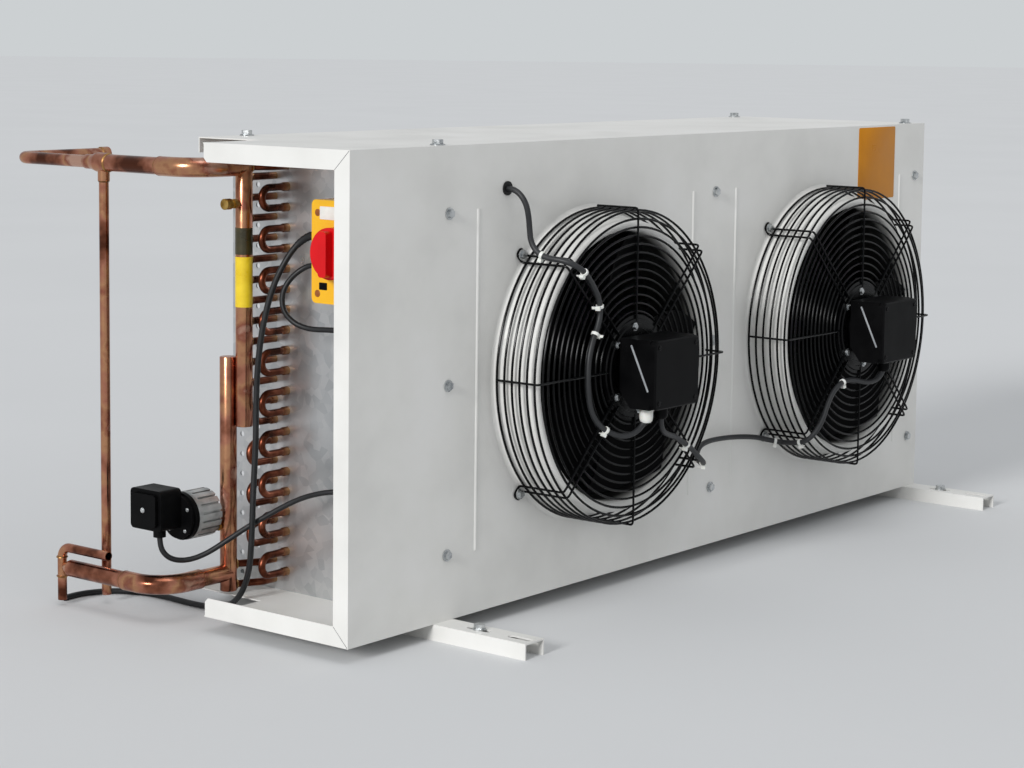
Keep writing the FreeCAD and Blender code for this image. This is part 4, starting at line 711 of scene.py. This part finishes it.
# Rubber sheath: black and matt, with a dull sheen along its lit side.
black_rubber = surface("black rubber sheath", ("#141517", "#1C1D1F"), patch=30, grain=2,
                       relief=0.06, rough=(0.42, 0.55), Specular_IOR_Level=0.4)
grey_rubber = surface("dark grey rubber sheath", ("#1F2022", "#2A2B2D"), patch=30, grain=2,
                      relief=0.06, rough=(0.4, 0.52), Specular_IOR_Level=0.45)
supply_points = [
    (-0.5428, -0.0857, 0.4944), (-0.5428, -0.0627, 0.4944), (-0.5448, -0.0467, 0.4889),
    (-0.5508, -0.0342, 0.4764), (-0.5598, -0.0257, 0.4574), (-0.5698, -0.0177, 0.4314),
    (-0.5758, -0.0107, 0.4004), (-0.5798, -0.0047, 0.3644), (-0.5823, -0.0007, 0.3224),
    (-0.5828, 0.0013, 0.2774), (-0.5848, -0.0007, 0.2314), (-0.5873, 0.0003, 0.1864),
    (-0.5908, -0.0007, 0.1424), (-0.5913, 0.0008, 0.1024), (-0.5903, 0.0053, 0.0654),
    (-0.5883, 0.0193, 0.0344), (-0.5858, 0.0413, 0.0134), (-0.5858, 0.0683, 0.0056),
    (-0.5888, 0.0953, 0.0041), (-0.5878, 0.1293, 0.0040), (-0.5848, 0.1673, 0.0041),
    (-0.5878, 0.2043, 0.0040), (-0.6028, 0.2353, 0.0041), (-0.6258, 0.2543, 0.0040),
    (-0.6528, 0.2623, 0.0041), (-0.6768, 0.2593, 0.0040)]
supply, supply_middle = lay_cord("supply_cable", 0.0039, black_rubber,
                                 supply_points)
switch_points = [
    (-0.5428, -0.0857, 0.4564), (-0.5428, -0.0587, 0.4564), (-0.5478, -0.0447, 0.4504),
    (-0.5588, -0.0327, 0.4364), (-0.5658, -0.0267, 0.4174), (-0.5668, -0.0307, 0.3974),
    (-0.5618, -0.0427, 0.3834), (-0.5568, -0.0587, 0.3774), (-0.5538, -0.0747, 0.3764),
    (-0.5518, -0.0907, 0.3774), (-0.5503, -0.1077, 0.3779), (-0.5458, -0.1237, 0.3784),
    (-0.5358, -0.1362, 0.3784), (-0.5208, -0.1427, 0.3784), (-0.4978, -0.1427, 0.3784),
    (-0.4798, -0.1427, 0.3844), (-0.4658, -0.1427, 0.3994), (-0.4598, -0.1427, 0.4194),
    (-0.4598, -0.1427, 0.4500)]
switch_lead, _ = lay_cord("switch_lead", 0.0035, black_rubber,
                          switch_points)
controller_points = [
    (-0.6658, 0.0896, 0.1149), (-0.6658, 0.0896, 0.0984), (-0.6618, 0.0853, 0.0854),
    (-0.6518, 0.0778, 0.0774), (-0.6358, 0.0673, 0.0764), (-0.6198, 0.0522, 0.0844),
    (-0.6048, 0.0333, 0.1004), (-0.5868, 0.0123, 0.1194), (-0.5738, -0.0107, 0.1354),
    (-0.5638, -0.0318, 0.1494), (-0.5568, -0.0527, 0.1604), (-0.5533, -0.0727, 0.1674),
    (-0.5503, -0.0902, 0.1719), (-0.5458, -0.1062, 0.1739), (-0.5358, -0.1188, 0.1749),
    (-0.5208, -0.1252, 0.1754), (-0.4978, -0.1252, 0.1754), (-0.4788, -0.1267, 0.1804),
    (-0.4668, -0.1297, 0.1954), (-0.4618, -0.1337, 0.2194), (-0.4608, -0.1367, 0.2584),
    (-0.4598, -0.1387, 0.3064), (-0.4608, -0.1357, 0.3564), (-0.4638, -0.1307, 0.4044),
    (-0.4648, -0.1267, 0.4500)]
controller_lead, _ = lay_cord("controller_lead", 0.0035, black_rubber,
                              controller_points)
fan_1_points = [
    (-0.4486, -0.1567, 0.5004), (-0.4310, -0.1567, 0.5004), (-0.4140, -0.1617, 0.5073),
    (-0.3998, -0.1727, 0.5195), (-0.3888, -0.1887, 0.5333), (-0.3818, -0.2067, 0.5465),
    (-0.3778, -0.2247, 0.5534), (-0.3778, -0.2457, 0.5534), (-0.3768, -0.2582, 0.5464),
    (-0.3743, -0.2650, 0.5344), (-0.3708, -0.2662, 0.5194), (-0.3668, -0.2647, 0.5034),
    (-0.3643, -0.2647, 0.4874), (-0.3628, -0.2737, 0.4734), (-0.3608, -0.2897, 0.4674),
    (-0.3578, -0.3067, 0.4664), (-0.3518, -0.3197, 0.4624), (-0.3408, -0.3272, 0.4554),
    (-0.3258, -0.3267, 0.4444), (-0.3088, -0.3247, 0.4284), (-0.2958, -0.3227, 0.4124),
    (-0.2898, -0.3207, 0.3944), (-0.2958, -0.3207, 0.3774), (-0.3058, -0.3207, 0.3614),
    (-0.3128, -0.3207, 0.3424), (-0.3148, -0.3207, 0.3204), (-0.3138, -0.3207, 0.2994),
    (-0.3108, -0.3207, 0.2804), (-0.3038, -0.3217, 0.2634), (-0.2918, -0.3247, 0.2494),
    (-0.2758, -0.3297, 0.2394), (-0.2588, -0.3347, 0.2339), (-0.2413, -0.3387, 0.2344),
    (-0.2286, -0.3427, 0.2419), (-0.2218, -0.3465, 0.2546), (-0.2218, -0.3465, 0.2684)]
fan_1_cable, fan_1_middle = lay_cord("fan_1_cable", 0.00375, grey_rubber,
                                     fan_1_points)
fan_2_points = [
    (-0.1878, -0.3465, 0.2684), (-0.1878, -0.3465, 0.2544), (-0.1838, -0.3437, 0.2404),
    (-0.1728, -0.3397, 0.2299), (-0.1548, -0.3347, 0.2234), (-0.1328, -0.3307, 0.2174),
    (-0.1108, -0.3277, 0.2074), (-0.0888, -0.3267, 0.1964), (-0.0668, -0.3257, 0.1804),
    (-0.0468, -0.3207, 0.1694), (-0.0308, -0.3087, 0.1634), (-0.0178, -0.2917, 0.1644),
    (0.0002, -0.2777, 0.1714), (0.0252, -0.2677, 0.1774), (0.0562, -0.2607, 0.1784),
    (0.0912, -0.2557, 0.1764), (0.1292, -0.2527, 0.1734), (0.1652, -0.2527, 0.1694),
    (0.1962, -0.2537, 0.1644), (0.2172, -0.2607, 0.1584), (0.2282, -0.2747, 0.1554),
    (0.2302, -0.2947, 0.1564), (0.2302, -0.3137, 0.1604), (0.2352, -0.3267, 0.1734),
    (0.2482, -0.3307, 0.1904), (0.2642, -0.3277, 0.2084), (0.2822, -0.3247, 0.2244),
    (0.3022, -0.3247, 0.2374), (0.3232, -0.3277, 0.2434), (0.3432, -0.3327, 0.2404),
    (0.3612, -0.3367, 0.2354), (0.3782, -0.3407, 0.2359), (0.3905, -0.3442, 0.2424),
    (0.3972, -0.3465, 0.2546), (0.3972, -0.3465, 0.2684)]
fan_2_cable, fan_2_middle = lay_cord("fan_2_cable", 0.00375, grey_rubber,
                                     fan_2_points)


# Strain relief: a ribbed rubber sleeve that tapers along the first 40 mm of the supply
# cable, pushed over it against the switch's gland.
def place_on(middle, distance):
    """The place and the direction at a distance along a cable's middle line."""
    for here, there in zip(middle, middle[1:]):
        step = (there - here).length
        if distance <= step:
            return here.lerp(there, distance / step), (there - here).normalized()
        distance -= step
    return middle[-1], (middle[-1] - middle[-2]).normalized()


ring_count = 15
ring_step = 0.0028
sleeve_start = 0.0135
groove = 0.45
sleeve = bmesh.new()
rings = []
for step in range(ring_count):
    cut = groove if step % 2 and step < ring_count - 1 else 0.0
    radius = (6.3 - 0.13 * step - cut) / 1000
    place = facing(*place_on(supply_middle, sleeve_start + ring_step * step))
    made = bmesh.ops.create_circle(sleeve, segments=20, radius=radius, matrix=place)["verts"]
    rings.append(list({edge for corner in made for edge in corner.link_edges}))
for near, far in zip(rings, rings[1:]):
    bmesh.ops.bridge_loops(sleeve, edges=near + far)
bmesh.ops.holes_fill(sleeve, edges=rings[0] + rings[-1])
bmesh.ops.recalc_face_normals(sleeve, faces=sleeve.faces[:])
supply_sleeve = make_piece("supply_sleeve", sleeve, black_rubber)


# Cable ties: white nylon bands 4 mm wide with a square head and a cut-off tail, holding the
# fan cables to the guards.
def tie(radius):
    """A tie about Z for a cable of this radius, its head towards X."""
    inner, outer = radius + 0.15, radius + 1.35
    band = turned([(inner, -2), (outer - 0.2, -2), (outer, -1.7), (outer, 1.7),
                   (outer - 0.2, 2), (inner, 2), (inner, -2)], 22)
    place = Vector((outer + 1.7, 0.4, 0)) / 1000
    half = Vector((2.3, 3.0, 2.7)) / 1000
    add_copies(band, slab(place - half, place + half, 1, 0.7), [Matrix.Identity(4)])
    place = Vector((outer + 0.7, 5.6, 0)) / 1000
    half = Vector((0.6, 3.2, 1.8)) / 1000
    return add_copies(band, slab(place - half, place + half, 1, 0.3), [Matrix.Identity(4)])


def nearest_on(middle, place):
    """The place and the direction on a middle line that are nearest to a point."""
    step = min(range(len(middle) - 1), key=lambda index: (middle[index] - place).length)
    return middle[step], (middle[step + 1] - middle[step]).normalized()


for cable, name, length, middle, points, runs in (
        (fan_1_cable, "fan_1", 0.636, fan_1_middle, fan_1_points, (13, 17, 20, 22, 29)),
        (fan_2_cable, "fan_2", 0.763, fan_2_middle, fan_2_points, (6, 9, 11, 19, 21, 27))):
    places = []
    for run in runs:
        between_points = (Vector(points[run]) + Vector(points[run + 1])) / 2
        place, direction = nearest_on(middle, between_points)
        places.append(facing(place, direction) @ Matrix.Rotation(math.radians(-90), 4, "Z"))
    ties = make_piece(name + "_ties", add_copies(bmesh.new(), tie(3.75), places),
                      white_nylon)
    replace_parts(ties, "cable_ties")


# Grommets: soft black rubber rings, pressed into the lead holes of the front panel and the
# left end plate so that the sheet's edge can't cut a cable. Matt and a little dusty.
soft_rubber = surface("soft black rubber", ("#0E0E0F", "#161617"), patch=6, grain=1.2,
                      relief=0.05, rough=(0.5, 0.62), Specular_IOR_Level=0.3)
paint(soft_rubber, "grommets")


# Screws and bolts: turned or headed steel, zinc plated, holding the panels, the guards, the
# top and the rails. Under each head on the top sits a domed sealing washer.
paint(zinc, "panel_screws", "guard_screws", "top_bolts", "rail_bolts")
washers = turned([(5.0, 0.1), (9.6, 0.1), (9.6, 0.9), (8.6, 1.6), (6.4, 2.2), (5.0, 2.3),
                  (5.0, 0.1)], 28)
washers = add_copies(bmesh.new(), washers, [Matrix.Translation(at(x, y, 590))
                                            for x in (175, 1337) for y in (15, 340)])
make_piece("top_washers", washers, zinc)


# Mitre joints: the front panel's end return meets the top and bottom returns at 45 degrees,
# and the joint is left open by a hair; its fine grey line is a thin strip coloured as painted
# shade.
seams = bmesh.new()
for height, rise in ((0, 1), (590, -1)):
    start, end = at(-0.08, 0.9, height + 0.9 * rise), at(-0.08, 23.6, height + 23.6 * rise)
    strip = slab(Vector((-0.1, -0.3, -16.0)) / 1000, Vector((0.1, 0.3, 16.0)) / 1000, 0, 0.1)
    turn = Matrix.Rotation(math.radians(-45 * rise), 4, "X")
    add_copies(seams, strip, [Matrix.Translation((start + end) / 2) @ turn])
# Painted shade in the open joint, over bare steel under the edge of the paint.
joint_shadow = surface("open joint with painted shade", ("#5C5D5E", "#77787A"), patch=8, grain=1.2,
                       relief=0.03, rough=(0.5, 0.65))
make_piece("mitre_joints", seams, joint_shadow)


# Panel label: a plain orange-yellow polyester plate stuck near the panel's upper right
# corner. It carries nothing.
label_plate = slab(at(1166, -0.35, 475), at(1279, 0.1, 587), 1, 3.0, 0.1)
label_film = surface("orange-yellow printed film", ("#C47C08", "#D0860E"), patch=60, grain=9,
                     relief=0.03, rough=(0.26, 0.36), Specular_IOR_Level=0.15)
make_piece("panel_label", label_plate, label_film)


# Studio: a plain pale floor that meets a pale sky of its own shade, a strong far lamp from
# the service side, which makes that end the whitest, and a faint one from above.
floor_shape = bmesh.new()
bmesh.ops.create_circle(floor_shape, cap_ends=True, segments=96, radius=60)
floor_data = bpy.data.meshes.new("studio_floor")
floor_shape.to_mesh(floor_data)
floor_shape.free()
floor = bpy.data.objects.new("studio_floor", floor_data)
bpy.context.scene.collection.objects.link(floor)
floor_data.materials.append(surface("pale studio floor", ("#D5D6D7", "#D7D8D9"), patch=900,
                                    grain=30, relief=0.01, rough=(0.8, 0.9),
                                    Specular_IOR_Level=0.0))

world = bpy.data.worlds.new("pale studio sky")
bpy.context.scene.world = world
world.use_nodes = True
light = world.node_tree.nodes["Background"]
light.inputs["Color"].default_value = linear("#F4F7FA")
light.inputs["Strength"].default_value = 0.6
seen = add_node(world, "ShaderNodeBackground", {"Color": linear("#CCD0D2"), "Strength": 1.0})
rays = add_node(world, "ShaderNodeLightPath", {})
sky = add_node(world, "ShaderNodeMixShader", {0: rays.outputs["Is Camera Ray"],
                                              1: light.outputs["Background"],
                                              2: seen.outputs["Background"]})
world.node_tree.links.new(sky.outputs["Shader"],
                          world.node_tree.nodes["World Output"].inputs["Surface"])
for name, direction, spread, power in (("key_lamp", (-0.93, -0.10, 0.36), 14, 2.0),
                                       ("top_lamp", (-0.2, -0.3, 0.93), 30, 0.35)):
    lamp = bpy.data.lights.new(name, "SUN")
    lamp.angle = math.radians(spread)
    lamp.energy = power
    holder = bpy.data.objects.new(name, lamp)
    holder.matrix_world = facing((0, 0, 3), direction)
    bpy.context.scene.collection.objects.link(holder)


# Camera: where the photograph was taken from, to the left of the unit and a little above.
# Its place, turn and lens follow from the casing's corners and long edges.
azimuth, elevation, roll = (math.radians(turn) for turn in (51.71, 6.12, 0.66))
forward = Vector((math.sin(azimuth) * math.cos(elevation),
                  math.cos(azimuth) * math.cos(elevation), -math.sin(elevation)))
right = Vector((math.cos(azimuth), -math.sin(azimuth), 0))
up = right.cross(forward)
side = math.cos(roll) * right + math.sin(roll) * up
top = math.cos(roll) * up - math.sin(roll) * right
turn = Matrix((side, top, -forward)).transposed().to_4x4()
camera_data = bpy.data.cameras.new("camera")
camera_data.lens = 82.158
camera_data.sensor_width = 36
camera_data.shift_y = -0.0977
camera = bpy.data.objects.new("camera", camera_data)
camera.matrix_world = Matrix.Translation((-2.6722, -2.0577, 0.7467)) @ turn
bpy.context.scene.collection.objects.link(camera)
bpy.context.scene.camera = camera
bpy.context.scene.view_settings.view_transform = "Standard"
